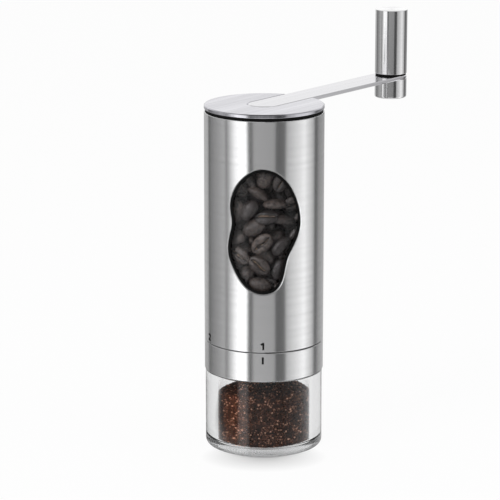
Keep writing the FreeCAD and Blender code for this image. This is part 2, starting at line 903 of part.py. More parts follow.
def make_mill_housing():
    body = turned("mill_housing", [
        ("housing_bore", "sleeve_bottom"),
        ("insert_radius", "sleeve_bottom"),
        ("insert_radius", "housing_top"),
        ("liner_bore", "housing_top"),
        ("bridge_pocket", "bridge_top"),
        ("bridge_pocket", "bridge_seat"),
        ("throat_radius", "bridge_seat"),
        ("throat_radius", "ceiling"),
        ("key_bore", "ceiling"),
        ("key_bore", "shoulder"),
        ("housing_bore", "shoulder"),
        ("housing_bore", "groove_top"),
        ("lip_groove", "groove_top"),
        ("lip_groove", "groove_bottom"),
        ("housing_bore", "groove_bottom"),
    ])
    sketch = new_sketch(body, "XY_Plane", "shoulder")
    draw_rectangle(sketch, "0", "key_radius", "key_width / 2")
    keyway = add_pocket(body, sketch, "shoulder", "ceiling")
    repeat_around(body, keyway, LUGS)
    cut_circles(body, bridge_screw_places(), "screw_hole", "bridge_screw_tip", "bridge_seat")
    return body


# Sleeve and window

def bean_prism(inset):
    """The window's outline, drawn in by an inset and carried through the sleeve's front."""
    half_width = number("window_width / 2")
    half_height = number("window_height / 2")
    centre = number("window_centre")
    points = [FreeCAD.Vector(x * half_width, 0, centre + z * half_height) for x, z in BEAN_OUTLINE]
    curve = Part.BSplineCurve()
    curve.interpolate(Points=points, PeriodicFlag=True)
    if inset:
        inner = []
        for point in points:
            along = curve.tangent(curve.parameter(point))[0]
            inward = FreeCAD.Vector(along.z, 0, -along.x)
            inner.append(point + inward * inset)
        curve.interpolate(Points=inner, PeriodicFlag=True)
    face = Part.Face(Part.Wire(curve.toShape()))
    return face.extrude(FreeCAD.Vector(0, -number("body_diameter"), 0))


def make_outer_sleeve():
    shell = turned("sleeve_tube", [
        ("sleeve_bore", "sleeve_bottom"),
        ("body_radius", "sleeve_bottom", "edge_round"),
        ("body_radius", "sleeve_top", "edge_round"),
        ("sleeve_bore", "sleeve_top"),
    ])
    window = doc.addObject("Part::Feature", "window_cutter")
    window.Shape = bean_prism(0)
    cut = doc.addObject("Part::Cut", "sleeve_cut")
    cut.Base = shell
    cut.Tool = window
    doc.recompute()
    body_radius = number("body_radius")
    low = number("sleeve_bottom + edge_round") + 1e-3
    high = number("sleeve_top - edge_round") - 1e-3
    bevel_size = number("window_bevel")
    edges = []
    for index, edge in enumerate(cut.Shape.Edges, 1):
        middle = edge.valueAt((edge.FirstParameter + edge.LastParameter) / 2)
        box = edge.BoundBox
        outside = abs(math.hypot(middle.x, middle.y) - body_radius) < 1e-3
        if outside and box.ZMin > low and box.ZMax < high:
            edges.append((index, bevel_size, bevel_size))
    sleeve = doc.addObject("Part::Chamfer", "outer_sleeve")
    sleeve.Label = "outer_sleeve"
    sleeve.Base = cut
    sleeve.Edges = edges
    return sleeve


def make_window_gasket():
    """The black border inside the cut-out, standing on the liner."""
    ring = bean_prism(number("press_clearance")).cut(bean_prism(number("gasket_width")))
    bottom = number("sleeve_bottom")
    height = number("sleeve_height")
    base = FreeCAD.Vector(0, 0, bottom)
    shell = Part.makeCylinder(number("gasket_face"), height, base)
    shell = shell.cut(Part.makeCylinder(number("sleeve_bore"), height, base))
    gasket = doc.addObject("Part::Feature", "window_gasket")
    gasket.Label = "window_gasket"
    gasket.Shape = ring.common(shell).Solids[0]
    return gasket


def make_hopper_liner():
    return tube("hopper_liner", "liner_bore", "insert_radius", "housing_top", "liner_top")


# Lid and crank arm, made along +X

def make_lid_plate():
    body = turned("lid_plate", [
        ("0", "lid_bottom"),
        ("body_radius", "lid_bottom", "edge_round"),
        ("body_radius", "lid_top"),
        ("0", "lid_top"),
    ])
    cut_circles(body, [("0", "0")], "slot_half", "lid_bottom", "lid_top")
    cut_block(body, "0", "body_diameter", "slot_half", "lid_bottom", "lid_top")
    bevel_edges(body, lies_at("lid_top"), "plate_bevel")
    places = [on_circle("screw_circle", direction) for direction in PLATE_SCREWS]
    cut_circles(body, places, "screw_hole", "lid_bottom", "screw_tip")
    turn_to_crank(body)
    return body


def make_crank_arm():
    body = new_body("crank_arm")
    sketch = new_sketch(body, "XY_Plane", "lid_bottom")
    draw_rectangle(sketch, "0", "crank_radius", "arm_half")
    add_pad(body, sketch, "lid_bottom", "lid_top")
    for x in ("0", "crank_radius"):
        sketch = new_sketch(body, "XY_Plane", "lid_bottom")
        draw_circle(sketch, x, "0", "arm_half")
        add_pad(body, sketch, "lid_bottom", "lid_top")
    bevel_edges(body, lies_at("lid_bottom", "lid_top"), "plate_bevel")
    cut_circles(body, [("crank_radius", "0")], "axle_hole", "lid_bottom", "lid_top")
    places = [on_circle("screw_circle", direction) for direction in ARM_SCREWS]
    cut_circles(body, places, "screw_hole", "lid_bottom", "screw_tip")
    turn_to_crank(body)
    return body


def make_lid_plug():
    body = turned("lid_plug", [
        ("boss_bore", "socket_bottom"),
        ("boss_radius", "socket_bottom"),
        ("boss_radius", "web_bottom"),
        ("plug_bore", "web_bottom"),
        ("plug_bore", "plug_bottom"),
        ("plug_radius", "plug_bottom", "edge_round"),
        ("plug_radius", "flange_bottom"),
        ("flange_radius", "flange_bottom"),
        ("flange_radius", "lid_bottom"),
        ("boss_bore", "lid_bottom"),
    ])
    places = [on_circle("screw_circle", direction) for direction in ARM_SCREWS + PLATE_SCREWS]
    cut_circles(body, places, "screw_hole", "web_bottom", "lid_bottom")
    turn_to_crank(body)
    return body


def make_drive_socket():
    body = turned("drive_socket", [
        ("0", "socket_bottom"),
        ("socket_radius", "socket_bottom"),
        ("socket_radius", "lid_bottom"),
        ("0", "lid_bottom"),
    ])
    cut_hexagon(body, "socket_hex", "socket_bottom", "socket_ceiling")
    return body


def make_lid_screws():
    group = screw_group(
        "lid_screws", "screw_circle", ARM_SCREWS + PLATE_SCREWS,
        "web_bottom - screw_head_height", "web_bottom", "screw_tip")
    turn_to_crank(group)
    return group


# Grip, made about the Z axis

def make_grip_foot():
    return turned("grip_foot", [
        ("axle_head_pocket", "foot_bottom"),
        ("grip_radius", "foot_bottom", "foot_edge"),
        ("grip_radius", "lid_bottom"),
        ("axle_hole", "lid_bottom"),
        ("axle_hole", "axle_head_seat"),
        ("axle_head_pocket", "axle_head_seat"),
    ])


def make_grip_axle():
    return turned("grip_axle", [
        ("0", "axle_head_bottom"),
        ("axle_head_radius", "axle_head_bottom", "edge_round"),
        ("axle_head_radius", "axle_head_seat"),
        ("axle_radius", "axle_head_seat"),
        ("axle_radius", "axle_clip_bottom"),
        ("axle_radius - clip_bite", "axle_clip_bottom"),
        ("axle_radius - clip_bite", "axle_clip_top + press_clearance"),
        ("axle_radius", "axle_clip_top + press_clearance"),
        ("axle_radius", "axle_top"),
        ("0", "axle_top"),
    ])


def make_grip_sleeve():
    return turned("grip_sleeve", [
        ("grip_bore", "grip_bottom"),
        ("grip_radius", "grip_bottom", "edge_round"),
        ("grip_radius", "grip_top", "edge_round"),
        ("0", "grip_top"),
        ("0", "grip_ceiling"),
        ("grip_bore", "grip_ceiling"),
    ])


def make_grip_parts():
    parts = [
        make_grip_foot(),
        make_grip_axle(),
        make_grip_sleeve(),
        tube("grip_washer", "axle_hole", "grip_washer_radius", "lid_top", "grip_washer_top"),
        tube("grip_bush_lower", "axle_bush_bore", "grip_bush_radius", "grip_bottom", "lower_bush_top"),
        tube("grip_bush_upper", "axle_bush_bore", "grip_bush_radius", "upper_bush_bottom", "upper_bush_top"),
        clip("axle_clip", "axle_clip_bore", "axle_clip_radius", "axle_clip_bottom", "axle_clip_top",
             "clip_opening"),
    ]
    for part in parts:
        move_to_grip(part)
    return parts


def make_shaft_parts():
    return [
        make_drive_shaft(),
        make_inner_burr(),
        tube("burr_washer", "bolt_hole", "burr_washer_diameter / 2", "burr_washer_bottom", "cone_bottom"),
        make_burr_nut(),
        make_burr_spring(),
        tube("thrust_washer", "bush_bore", "bush_flange_radius", "thrust_bottom", "thrust_top"),
        clip("shaft_clip", "shaft_clip_bore", "shaft_radius + clip_reach", "thrust_top", "shaft_clip_top",
             "clip_opening"),
    ]


def make_bearing_parts():
    return [
        make_shaft_bush("shaft_bush_upper", "hub_top", "bush_top"),
        make_shaft_bush("shaft_bush_lower", "hub_bottom", "bush_bottom"),
        make_bearing_bridge(),
        screw_group("bridge_screws", "bridge_screw_circle", bridge_screw_directions(),
                    "bridge_top", "bridge_top + screw_head_height", "bridge_screw_tip"),
        make_mill_housing(),
    ]


def make_all():
    """Every sub-part, from the table upwards."""
    parts = [make_jar(), make_jar_seal(), make_ring_shell(), make_ring_insert()]
    parts += [make_burr_carrier(), make_outer_burr(), make_burr_retainer()]
    parts += make_shaft_parts()
    parts += make_bearing_parts()
    parts += [make_hopper_liner(), make_outer_sleeve(), make_window_gasket()]
    parts += [make_lid_plate(), make_crank_arm(), make_lid_plug(), make_drive_socket(), make_lid_screws()]
    parts += make_grip_parts()
    doc.recompute()
    return parts


def check_and_write(parts):
    """Stops at anything that failed, then writes one file per sub-part."""
    for item in doc.Objects:
        if "Invalid" in item.State or "Error" in item.State:
            raise RuntimeError(f"{item.Label}: {item.State}")
    for part in parts:
        if part.Shape.isNull() or not part.Shape.isValid():
            raise RuntimeError(part.Label + ": no valid shape")
    os.makedirs("parts", exist_ok=True)
    for part in parts:
        part.Shape.exportStep(f"parts/{part.Label}.step")


check_and_write(make_all())
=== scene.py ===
# %% [markdown]
# # Dressing a hand crank coffee grinder
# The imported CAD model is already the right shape. This lesson gives every piece
# its finish, adds what CAD leaves out (the setting numbers, the beans, the ground
# coffee) and lights it all as in a light tent. Nothing of the CAD is moved: each
# new piece is put where the CAD says.

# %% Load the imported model
import json
import math

import bmesh
import bpy
import numpy as np
from mathutils import Matrix, Vector, noise


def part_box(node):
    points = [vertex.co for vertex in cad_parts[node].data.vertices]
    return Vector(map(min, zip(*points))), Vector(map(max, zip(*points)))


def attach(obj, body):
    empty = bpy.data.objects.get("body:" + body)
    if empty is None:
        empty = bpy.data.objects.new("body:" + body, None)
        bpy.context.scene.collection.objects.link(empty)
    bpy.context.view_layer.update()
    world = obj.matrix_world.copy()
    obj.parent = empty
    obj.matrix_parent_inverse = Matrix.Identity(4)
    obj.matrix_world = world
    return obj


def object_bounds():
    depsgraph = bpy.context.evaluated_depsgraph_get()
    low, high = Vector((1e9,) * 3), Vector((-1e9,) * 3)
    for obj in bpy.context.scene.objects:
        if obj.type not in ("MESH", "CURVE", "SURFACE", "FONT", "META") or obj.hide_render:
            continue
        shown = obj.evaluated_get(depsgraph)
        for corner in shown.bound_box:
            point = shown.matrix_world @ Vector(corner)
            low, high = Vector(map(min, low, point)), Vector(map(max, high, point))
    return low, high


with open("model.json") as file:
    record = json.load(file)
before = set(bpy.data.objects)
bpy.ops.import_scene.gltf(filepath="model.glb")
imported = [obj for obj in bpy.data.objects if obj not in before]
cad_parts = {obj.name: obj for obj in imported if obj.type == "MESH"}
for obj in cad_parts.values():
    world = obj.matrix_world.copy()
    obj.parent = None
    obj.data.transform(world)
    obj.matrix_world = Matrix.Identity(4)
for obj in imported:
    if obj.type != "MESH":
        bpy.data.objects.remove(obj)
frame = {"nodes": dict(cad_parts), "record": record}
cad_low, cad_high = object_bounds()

scene = bpy.context.scene
scene.view_settings.view_transform = "Standard"
nodes = frame["nodes"]
print("grinder of", len(nodes), "CAD pieces,", round(cad_high[2] * 1000, 1), "mm tall")

# %% [markdown]
# ## The camera
# A product picture like this is taken from about a metre away with a long lens,
# a little above the lid, so the sleeve's two sides stay almost parallel. The
# place and tilt were worked out from the edges of the lid, ring and jar. A turn
# of a third of a degree puts the upright axis where it stands in the picture.

# %% Camera
def add_object(name, data):
    """An object at the origin, in the scene."""
    thing = bpy.data.objects.new(name, data)
    scene.collection.objects.link(thing)
    return thing


camera_data = bpy.data.cameras.new("picture_camera")
camera_data.lens = 182.27
camera = add_object("picture_camera", camera_data)
camera.location = (0.0, -1.09235, 0.3570)
look_down, turn_left = 0.2410, 0.0057  # radians
camera.rotation_euler = (math.pi / 2 - look_down, 0.0, turn_left)
scene.camera = camera
print("camera", round(camera.location.length, 3), "m away, lens", camera_data.lens, "mm")

# %% [markdown]
# ## Small helpers for nodes
# A material is a tree of nodes, and most lines that build one do the same two
# things: make a node, and join or set its sockets. `feed` does either, by what
# it is given, and `fill` lets a finish read like a list of its ingredients.

# %% Node helpers
def feed(socket, source):
    """Join an output to a socket, or set a plain value on it; a colour needs no alpha."""
    if isinstance(source, bpy.types.NodeSocket):
        socket.id_data.links.new(source, socket)
    elif socket.type == "RGBA":
        socket.default_value = (*source, 1.0)
    else:
        socket.default_value = source


def fill(node, sockets):
    """Feed several sockets of a node."""
    for key, source in sockets.items():
        feed(node.inputs[key], source)


def add_node(tree, kind, sockets=None, **settings):
    """Make one node, with its settings and its sockets filled."""
    node = tree.nodes.new(kind)
    for key, value in settings.items():
        setattr(node, key, value)
    fill(node, sockets or {})
    return node


def calculate(tree, operation, *sources):
    """One Math node; returns its result."""
    return add_node(tree, "ShaderNodeMath", dict(enumerate(sources)), operation=operation).outputs[0]


def times(tree, *sources):
    """Two patterns multiplied."""
    return calculate(tree, "MULTIPLY", *sources)


def spread(tree, value, low, high, from_low=0.0, from_high=1.0):
    """Map Range: a pattern of 0 to 1 becomes one of low to high."""
    node = add_node(tree, "ShaderNodeMapRange", {
        "Value": value, "From Min": from_low, "From Max": from_high, "To Min": low, "To Max": high})
    return node.outputs["Result"]


print("node helpers ready")

# %% [markdown]
# ## The light tent
# Polished and brushed steel has no colour of its own: what we see is the room.
# The picture's bands, white softbox, grey cards and dark flags, therefore stand
# round the grinder as a wall that only mirrors and glass see. Each panel is given
# by the bearing it starts and ends at, counted from the camera, and how bright it
# is there. The wall is low behind, so the lid mirrors the white room above it.

# %% Panels round the grinder
panels = [
    # piece of the tent, from, to (degrees, right is plus), brightness from, to
    ("return, back left", -180, -135, 0.55, 0.52),
    ("seam of the left cards", -132, -127, 0.13, 0.13),
    ("left card", -124, -81, 0.24, 0.53),
    ("gap beside the softbox", -78, -76, 0.22, 0.22),
    ("softbox edge", -74, -58, 0.42, 1.35),
    ("softbox", -57, -35, 1.45, 1.45),
    ("narrow flag", -31, -24, 0.15, 0.18),
    ("grey card by the camera", -20, 21, 0.64, 0.56),
    ("wide flag", 23, 41, 0.14, 0.18),
    ("white card, near", 44, 75, 0.58, 1.12),
    ("white card, bright", 78, 85, 1.20, 1.36),
    ("white card, far", 87, 109, 1.18, 0.62),
    ("seam of the right cards", 114, 120, 0.14, 0.14),
    ("return, back right", 130, 180, 0.36, 0.55),
]


def tent_wall_mesh(radius, foot, top, back_top, columns=180):
    """An open ring of quads, lower behind the grinder than beside it."""
    points, faces = [], []
    for column in range(columns):
        bearing = 2 * math.pi * column / columns
        x, y = radius * math.sin(bearing), -radius * math.cos(bearing)
        behind = min(max((y / radius - 0.75) / 0.15, 0.0), 1.0)
        points += [(x, y, foot), (x, y, top + (back_top - top) * behind)]
        low, after = 2 * column, 2 * ((column + 1) % columns)
        faces.append((low, low + 1, after + 1, after))
    mesh = bpy.data.meshes.new("tent_wall")
    mesh.from_pydata(points, [], faces)
    return mesh


tent_wall = add_object("tent_wall", tent_wall_mesh(radius=1.6, foot=-1.6, top=0.55, back_top=0.15))
tent_wall.visible_camera = False
tent_wall.visible_diffuse = False
tent_wall.visible_shadow = False
print("tent wall with", len(panels), "panels")

# %% [markdown]
# ## Brightness of the wall
# The bearing gives the panel. Height changes it a little, because each height is
# mirrored by another piece: the pane mirrors a dark gap under the camera, so the
# beans show through it; the jar mirrors a low dark slot with one bright strip,
# which is the upright gleam on the coffee; the grip mirrors the calmer top.
# Brushed steel smears all this up and down and keeps only the panels.

# %% The panels' brightness, by bearing
def bare_tree(owner):
    """The emptied node tree of a material or a world."""
    owner.use_nodes = True
    owner.node_tree.nodes.clear()
    return owner.node_tree


def place_in(tree, kind="Object"):
    """Texture coordinates."""
    return add_node(tree, "ShaderNodeTexCoord").outputs[kind]


tent_light = bpy.data.materials.new("tent_light")
tent_light.cycles.emission_sampling = "NONE"
tree = bare_tree(tent_light)
place = place_in(tree)
axes = add_node(tree, "ShaderNodeSeparateXYZ", {"Vector": place}).outputs
height = axes["Z"]
turn = calculate(tree, "ARCTAN2", axes["X"], times(tree, axes["Y"], -1.0))
bearing = calculate(tree, "DEGREES", turn)
ramp = add_node(tree, "ShaderNodeValToRGB", {"Fac": spread(tree, bearing, 0.0, 1.0, -180.0, 180.0)})
stops = []
for name, start, end, first, last in panels:
    stops += [((start + 180) / 360, first), ((end + 180) / 360, last)]
while len(ramp.color_ramp.elements) < len(stops):
    ramp.color_ramp.elements.new(1.0)
for element, (position, brightness) in zip(ramp.color_ramp.elements, stops):
    element.position = position
    element.color = (brightness, brightness, brightness, 1.0)
print("bearing ramp of", len(stops), "stops")

# %% Gap, slot and strip, by height
def near(tree, value, centre, full, gone, level=1.0):
    """The level within full of a centre, nothing from gone on, and a slope between."""
    apart = calculate(tree, "ABSOLUTE", calculate(tree, "SUBTRACT", value, centre))
    return spread(tree, apart, level, 0.0, full, gone)


in_gap = near(tree, height, -0.25, 0.16, 0.20)
in_slot = near(tree, height, -0.49, 0.04, 0.06)
high_up = spread(tree, height, 0.0, 1.0, -0.15, -0.11)
shades = [
    # where it lies by bearing, and by height; how much of the brightness it leaves
    (near(tree, bearing, 6.0, 34.0, 38.0), in_gap, 0.35),
    (near(tree, bearing, 6.0, 100.0, 120.0), in_slot, 0.40),
    (spread(tree, bearing, 1.0, 0.0, -32.0, -28.0), in_slot, 0.10),
    (spread(tree, bearing, 0.0, 1.0, -34.0, -30.0), high_up, 0.75),
]
brighter_below = spread(tree, height, 1.3, 1.0, -0.40, -0.22)
brightness = times(tree, ramp.outputs["Color"], brighter_below)
for by_bearing, by_height, left_over in shades:
    shaded = times(tree, by_bearing, by_height)
    brightness = times(tree, brightness, spread(tree, shaded, 1.0, left_over))
strip = times(tree, near(tree, bearing, -41.0, 7.0, 14.0, 3.4), in_slot)
brightness = calculate(tree, "MAXIMUM", brightness, strip)
glow = add_node(tree, "ShaderNodeEmission", {"Strength": brightness})
add_node(tree, "ShaderNodeOutputMaterial", {"Surface": glow.outputs["Emission"]})
tent_wall.data.materials.append(tent_light)
print("tent light of", len(tree.nodes), "nodes")

# %% [markdown]
# ## The white room
# The room is white where a ray from the camera, a mirror or glass meets it, and
# dimmer as a light, so that colours come out as they are written. Mirrors see a
# greyer ceiling, with a dark card over the camera, and a greyer ground: bevelled
# edges show these as thin dark lines.

# %% White room
def for_rays(tree, *kinds):
    """1 for rays of these kinds, 0 for the others."""
    paths = add_node(tree, "ShaderNodeLightPath").outputs
    total = paths[f"Is {kinds[0]} Ray"]
    for kind in kinds[1:]:
        total = calculate(tree, "MAXIMUM", total, paths[f"Is {kind} Ray"])
    return total


world = bpy.data.worlds.new("white_room")
scene.world = world
tree = bare_tree(world)
direct = for_rays(tree, "Camera", "Glossy", "Transmission")
room_light, ceiling_light, card_light, ground_light = 0.68, 0.55, 0.08, 0.55
ray = place_in(tree, "Generated")
ways = add_node(tree, "ShaderNodeSeparateXYZ", {"Vector": ray}).outputs
on_card = times(tree, spread(tree, ways["Z"], 0.0, 1.0, 0.78, 0.86),
                near(tree, ways["Y"], -0.24, 0.14, 0.20, card_light - ceiling_light))
on_ceiling = spread(tree, ways["Z"], 0.0, ceiling_light - 1.0, 0.40, 0.58)
on_ground = near(tree, ways["Z"], -0.78, 0.10, 0.16, ground_light - 1.0)
darker = calculate(tree, "ADD", calculate(tree, "ADD", on_ceiling, on_card), on_ground)
mirrored = times(tree, darker, for_rays(tree, "Glossy"))
strength = calculate(tree, "ADD", spread(tree, direct, room_light, 1.0), mirrored)
room = add_node(tree, "ShaderNodeBackground", {"Color": (1.0, 1.0, 1.0), "Strength": strength})
add_node(tree, "ShaderNodeOutputWorld", {"Surface": room.outputs["Background"]})
print("room light", room_light, "for matt surfaces, 1 where it is seen")

# %% [markdown]
# ## Floor and lamps
# A pale table in a tent is almost white and keeps a soft shadow. So the floor
# glows white for the camera and for glass, over a matt surface that takes the
# shadow; just in front of the jar only the matt surface is left. Mirrors look
# past the floor at the tent wall. Only glass sees a dark card on the floor at
# the left: the jar's inner wall mirrors it over the coffee there, which would
# look grey under a white floor.
# A large lamp at the left and a weaker one at the right model the beans and the
# coffee without showing in the steel. A small bright one makes the glint on each
# oily bean, and a narrow strip with a tight beam brings out the chips in one
# upright band of the coffee. Light linking keeps these two to beans and coffee.

# %% Pale floor
floor_mesh = bpy.data.meshes.new("pale_floor")
half = 4.0
floor_mesh.from_pydata([
    (-half, -half, 0), (half, -half, 0), (half, half, 0), (-half, half, 0)], [], [(0, 1, 2, 3)])
floor = add_object("pale_floor", floor_mesh)
floor.visible_glossy = False

floor_paint = bpy.data.materials.new("floor_paint")
tree = bare_tree(floor_paint)
matt = add_node(tree, "ShaderNodeBsdfDiffuse", {"Color": (0.72, 0.72, 0.72)})
direct = for_rays(tree, "Camera", "Transmission")
place = place_in(tree)
card_place = Vector((-0.09, -0.022, 0.0))
from_card = add_node(tree, "ShaderNodeVectorMath", {
    0: place, 1: card_place}, operation="DISTANCE").outputs["Value"]
on_card = times(tree, spread(tree, from_card, 1.0, 0.0, 0.035, 0.060), for_rays(tree, "Transmission"))
white = add_node(tree, "ShaderNodeEmission", {"Strength": spread(tree, on_card, 1.0, 0.18)})
from_front = add_node(tree, "ShaderNodeMapping", {
    "Vector": place, "Location": (0.0, 0.024, 0.0), "Scale": (0.75, 1.0, 1.0)}).outputs["Vector"]
away = add_node(tree, "ShaderNodeVectorMath", {0: from_front}, operation="LENGTH").outputs["Value"]
glowing = spread(tree, away, 0.0, 0.95, 0.003, 0.021)
share = times(tree, direct, glowing)
both = add_node(tree, "ShaderNodeMixShader", {0: share, 1: matt.outputs[0], 2: white.outputs[0]})
add_node(tree, "ShaderNodeOutputMaterial", {"Surface": both.outputs[0]})
floor_mesh.materials.append(floor_paint)
print("floor", 2 * half, "m square")

# %% Four lamps
def soft_lamp(name, place, width, height, watts, mirrored=False, level=0.09, beam=180.0):
    """An area lamp that looks at a level of the grinder's axis. mirrored: gloss shows it."""
    data = bpy.data.lights.new(name, "AREA")
    data.shape = "RECTANGLE"
    data.size, data.size_y = width, height
    data.energy = watts
    data.spread = math.radians(beam)
    lamp = add_object(name, data)
    lamp.location = place
    aim = Vector((0.0, 0.0, level)) - Vector(place)
    lamp.rotation_euler = aim.to_track_quat("-Z", "Y").to_euler()
    lamp.visible_transmission = False
    lamp.visible_camera = False
    lamp.visible_glossy = mirrored
    return lamp


lamps = [
    soft_lamp("lamp_left", (-0.85, -0.80, 0.85), 0.7, 1.0, 10.0),
    soft_lamp("lamp_right", (1.10, -0.45, 0.80), 0.7, 1.0, 4.0),
    soft_lamp("lamp_spark", (-0.78, -0.80, 0.66), 0.12, 0.12, 16.0, mirrored=True),
    soft_lamp("lamp_strip", (-0.0882, -0.1214, 0.016), 0.0075, 0.028, 0.0026, level=0.016, beam=3.0),
]


def keep_to(lamp, group_name):
    """Light linking: the lamp lights only what is put in the collection that comes back."""
    lamp.light_linking.receiver_collection = bpy.data.collections.new(group_name)
    return lamp.light_linking.receiver_collection


glinting = keep_to(lamps[2], "glinting_beans")
in_strip_light = keep_to(lamps[3], "coffee_in_strip_light")
print("lamps:", *(lamp.name for lamp in lamps))

# %% [markdown]
# ## Brush lines, shared by all the steel
# Brushing leaves thousands of fine parallel scratches. A noise that is squeezed
# hard across the scratches and stretched along them gives the same look, and on
# a round piece it may be stretched along X and Y alike, so there is no seam.
# The pattern is one node group: each steel squeezes it in its own direction.

# %% Node group: brush lines
def cloudy(tree, place, scale, detail, roughness=0.5):
    """A noise of 0 to 1."""
    node = add_node(tree, "ShaderNodeTexNoise", {
        "Vector": place, "Scale": scale, "Detail": detail, "Roughness": roughness})
    return node.outputs["Fac"]


def open_group(name, inputs, outputs, kind="ShaderNodeTree"):
    """A node group with named sockets; returns the group and its two end nodes."""
    group = bpy.data.node_groups.new(name, kind)
    for way, sockets in (("INPUT", inputs), ("OUTPUT", outputs)):
        for socket, sort in sockets:
            group.interface.new_socket(socket, in_out=way, socket_type="NodeSocket" + sort)
    return group, group.nodes.new("NodeGroupInput"), group.nodes.new("NodeGroupOutput")


brush_lines, given, result = open_group(
    "brush_lines",
    [("Place", "Vector"), ("Squeeze", "Vector")], [("Tone", "Float"), ("Scratch", "Float")])
squeezed = add_node(brush_lines, "ShaderNodeVectorMath", {
    0: given.outputs["Place"], 1: given.outputs["Squeeze"]}, operation="MULTIPLY").outputs[0]
fine = cloudy(brush_lines, squeezed, 1.0, 3.0, 0.7)
broad = cloudy(brush_lines, squeezed, 0.17, 1.0)
both = calculate(brush_lines, "ADD", times(brush_lines, fine, 0.6), times(brush_lines, broad, 0.4))
fill(result, {"Tone": spread(brush_lines, both, 0.0, 1.0, 0.3, 0.7), "Scratch": fine})
print("group", brush_lines.name)

# %% [markdown]
# ## Steel finishes
# The sleeve, the ring and the grip were brushed while they turned, so their
# scratches run round them and smear a reflection up and down but hardly
# sideways: that is what Anisotropic does. The grip's end is polished bright. The
# lid and the arm were brushed straight, along the arm, and stay bright. Screws,
# shaft and washers are plain turned steel, a little darker and rougher.

# %% Steel
def mix_colours(tree, factor, first, second):
    """Mix two colours by a pattern of 0 to 1."""
    node = add_node(tree, "ShaderNodeMix", {0: factor, 6: first, 7: second}, data_type="RGBA")
    return node.outputs[2]


def new_finish(name):
    """A material with one Principled shader; returns it with its tree, shader and Object place."""
    finish = bpy.data.materials.new(name)
    finish.use_nodes = True
    tree = finish.node_tree
    shader = tree.nodes["Principled BSDF"]
    place = place_in(tree)
    return finish, tree, shader, place


def roughen(tree, shader, height, strength, distance, *sockets):
    """Bump from a pattern, on the shader's Normal or on the sockets named."""
    bump = add_node(tree, "ShaderNodeBump", {"Strength": strength, "Distance": distance, "Height": height})
    for socket in sockets or ["Normal"]:
        feed(shader.inputs[socket], bump.outputs["Normal"])


def steel_finish(name, squeeze, turn, dark, light, smooth, rough, scratch, smear=0.0):
    """Brushed steel. squeeze: lines per metre by axis, turn: the brushing's bearing, smear: Anisotropic."""
    finish, tree, shader, place = new_finish(name)
    turned = add_node(tree, "ShaderNodeMapping", {"Vector": place, "Rotation": (0.0, 0.0, -turn)})
    lines = add_node(tree, "ShaderNodeGroup", {
        "Place": turned.outputs["Vector"], "Squeeze": squeeze}, node_tree=brush_lines).outputs
    fill(shader, {
        "Base Color": mix_colours(tree, lines["Tone"], dark, light),
        "Roughness": spread(tree, lines["Tone"], rough, smooth),
        "Metallic": 1.0, "Anisotropic": smear, "Anisotropic Rotation": 0.25})
    roughen(tree, shader, lines["Scratch"], scratch, 0.00001)
    return finish


arm_bearing = math.radians(52.25)
round_steel = steel_finish(
    "round_brushed_steel", (7.0, 7.0, 2600.0), 0.0,
    (0.65, 0.65, 0.655), (0.74, 0.74, 0.745), 0.21, 0.26, 0.1, smear=0.96)
grip_steel = steel_finish(
    "polished_grip_steel", (7.0, 7.0, 3000.0), 0.0,
    (0.68, 0.68, 0.685), (0.74, 0.74, 0.745), 0.13, 0.17, 0.1, smear=0.9)
print("steel:", round_steel.name, grip_steel.name)

# %% The grip's polished end
tree = grip_steel.node_tree
place = place_in(tree)
height = add_node(tree, "ShaderNodeSeparateXYZ", {"Vector": place}).outputs["Z"]
on_end = spread(tree, height, 0.0, 1.0, cad_high[2] - 0.0003, cad_high[2] - 0.0001)
colour = tree.nodes["Principled BSDF"].inputs["Base Color"]
feed(colour, mix_colours(tree, on_end, colour.links[0].from_socket, (0.97, 0.97, 0.975)))
print("polished end at", round(cad_high[2] * 1000, 1), "mm")

# %% Straight brushed and turned steel
lid_steel = steel_finish(
    "straight_brushed_steel", (20.0, 1300.0, 20.0), arm_bearing,
    (0.46, 0.455, 0.495), (0.75, 0.745, 0.79), 0.16, 0.22, 0.2)
arm_steel = steel_finish(
    "polished_arm_steel", (14.0, 1600.0, 14.0), arm_bearing,
    (0.65, 0.645, 0.67), (0.77, 0.765, 0.79), 0.10, 0.15, 0.1)
turned_steel = steel_finish(
    "turned_steel", (260.0, 260.0, 1500.0), 0.0,
    (0.44, 0.44, 0.45), (0.62, 0.62, 0.63), 0.28, 0.42, 0.4)
print("steel:", lid_steel.name, arm_steel.name, turned_steel.name)

# %% [markdown]
# ## Moulded plastic, rubber, ceramic and brass
# The insides are moulded black plastic, with the fine even grain that a spark
# eroded mould leaves. One group makes that grain, and the rubber rings and the
# fired ceramic of the burrs use it too. The brass bushes reuse the brush lines.

# %% Node group: fine grain
fine_grain, given, result = open_group(
    "fine_grain",
    [("Place", "Vector"), ("Grains per Metre", "Float")], [("Tone", "Float"), ("Height", "Float")])
grain = cloudy(fine_grain, given.outputs["Place"], given.outputs["Grains per Metre"], 2.0, 0.6)
cloud = cloudy(fine_grain, given.outputs["Place"], 160.0, 2.0)
both = calculate(fine_grain, "ADD", times(fine_grain, grain, 0.5), times(fine_grain, cloud, 0.5))
fill(result, {"Tone": spread(fine_grain, both, 0.0, 1.0, 0.3, 0.7), "Height": grain})
print("group", fine_grain.name)


# %% Grained finishes
def grained_finish(name, grains, dark, light, smooth, rough, relief, mirror=0.5):
    """A matt or satin material whose tone, gloss and relief follow the fine grain."""
    finish, tree, shader, place = new_finish(name)
    grain = add_node(tree, "ShaderNodeGroup", {
        "Place": place, "Grains per Metre": grains}, node_tree=fine_grain).outputs
    fill(shader, {
        "Base Color": mix_colours(tree, grain["Tone"], dark, light),
        "Roughness": spread(tree, grain["Tone"], smooth, rough), "Specular IOR Level": mirror})
    roughen(tree, shader, grain["Height"], 0.5, relief)
    return finish


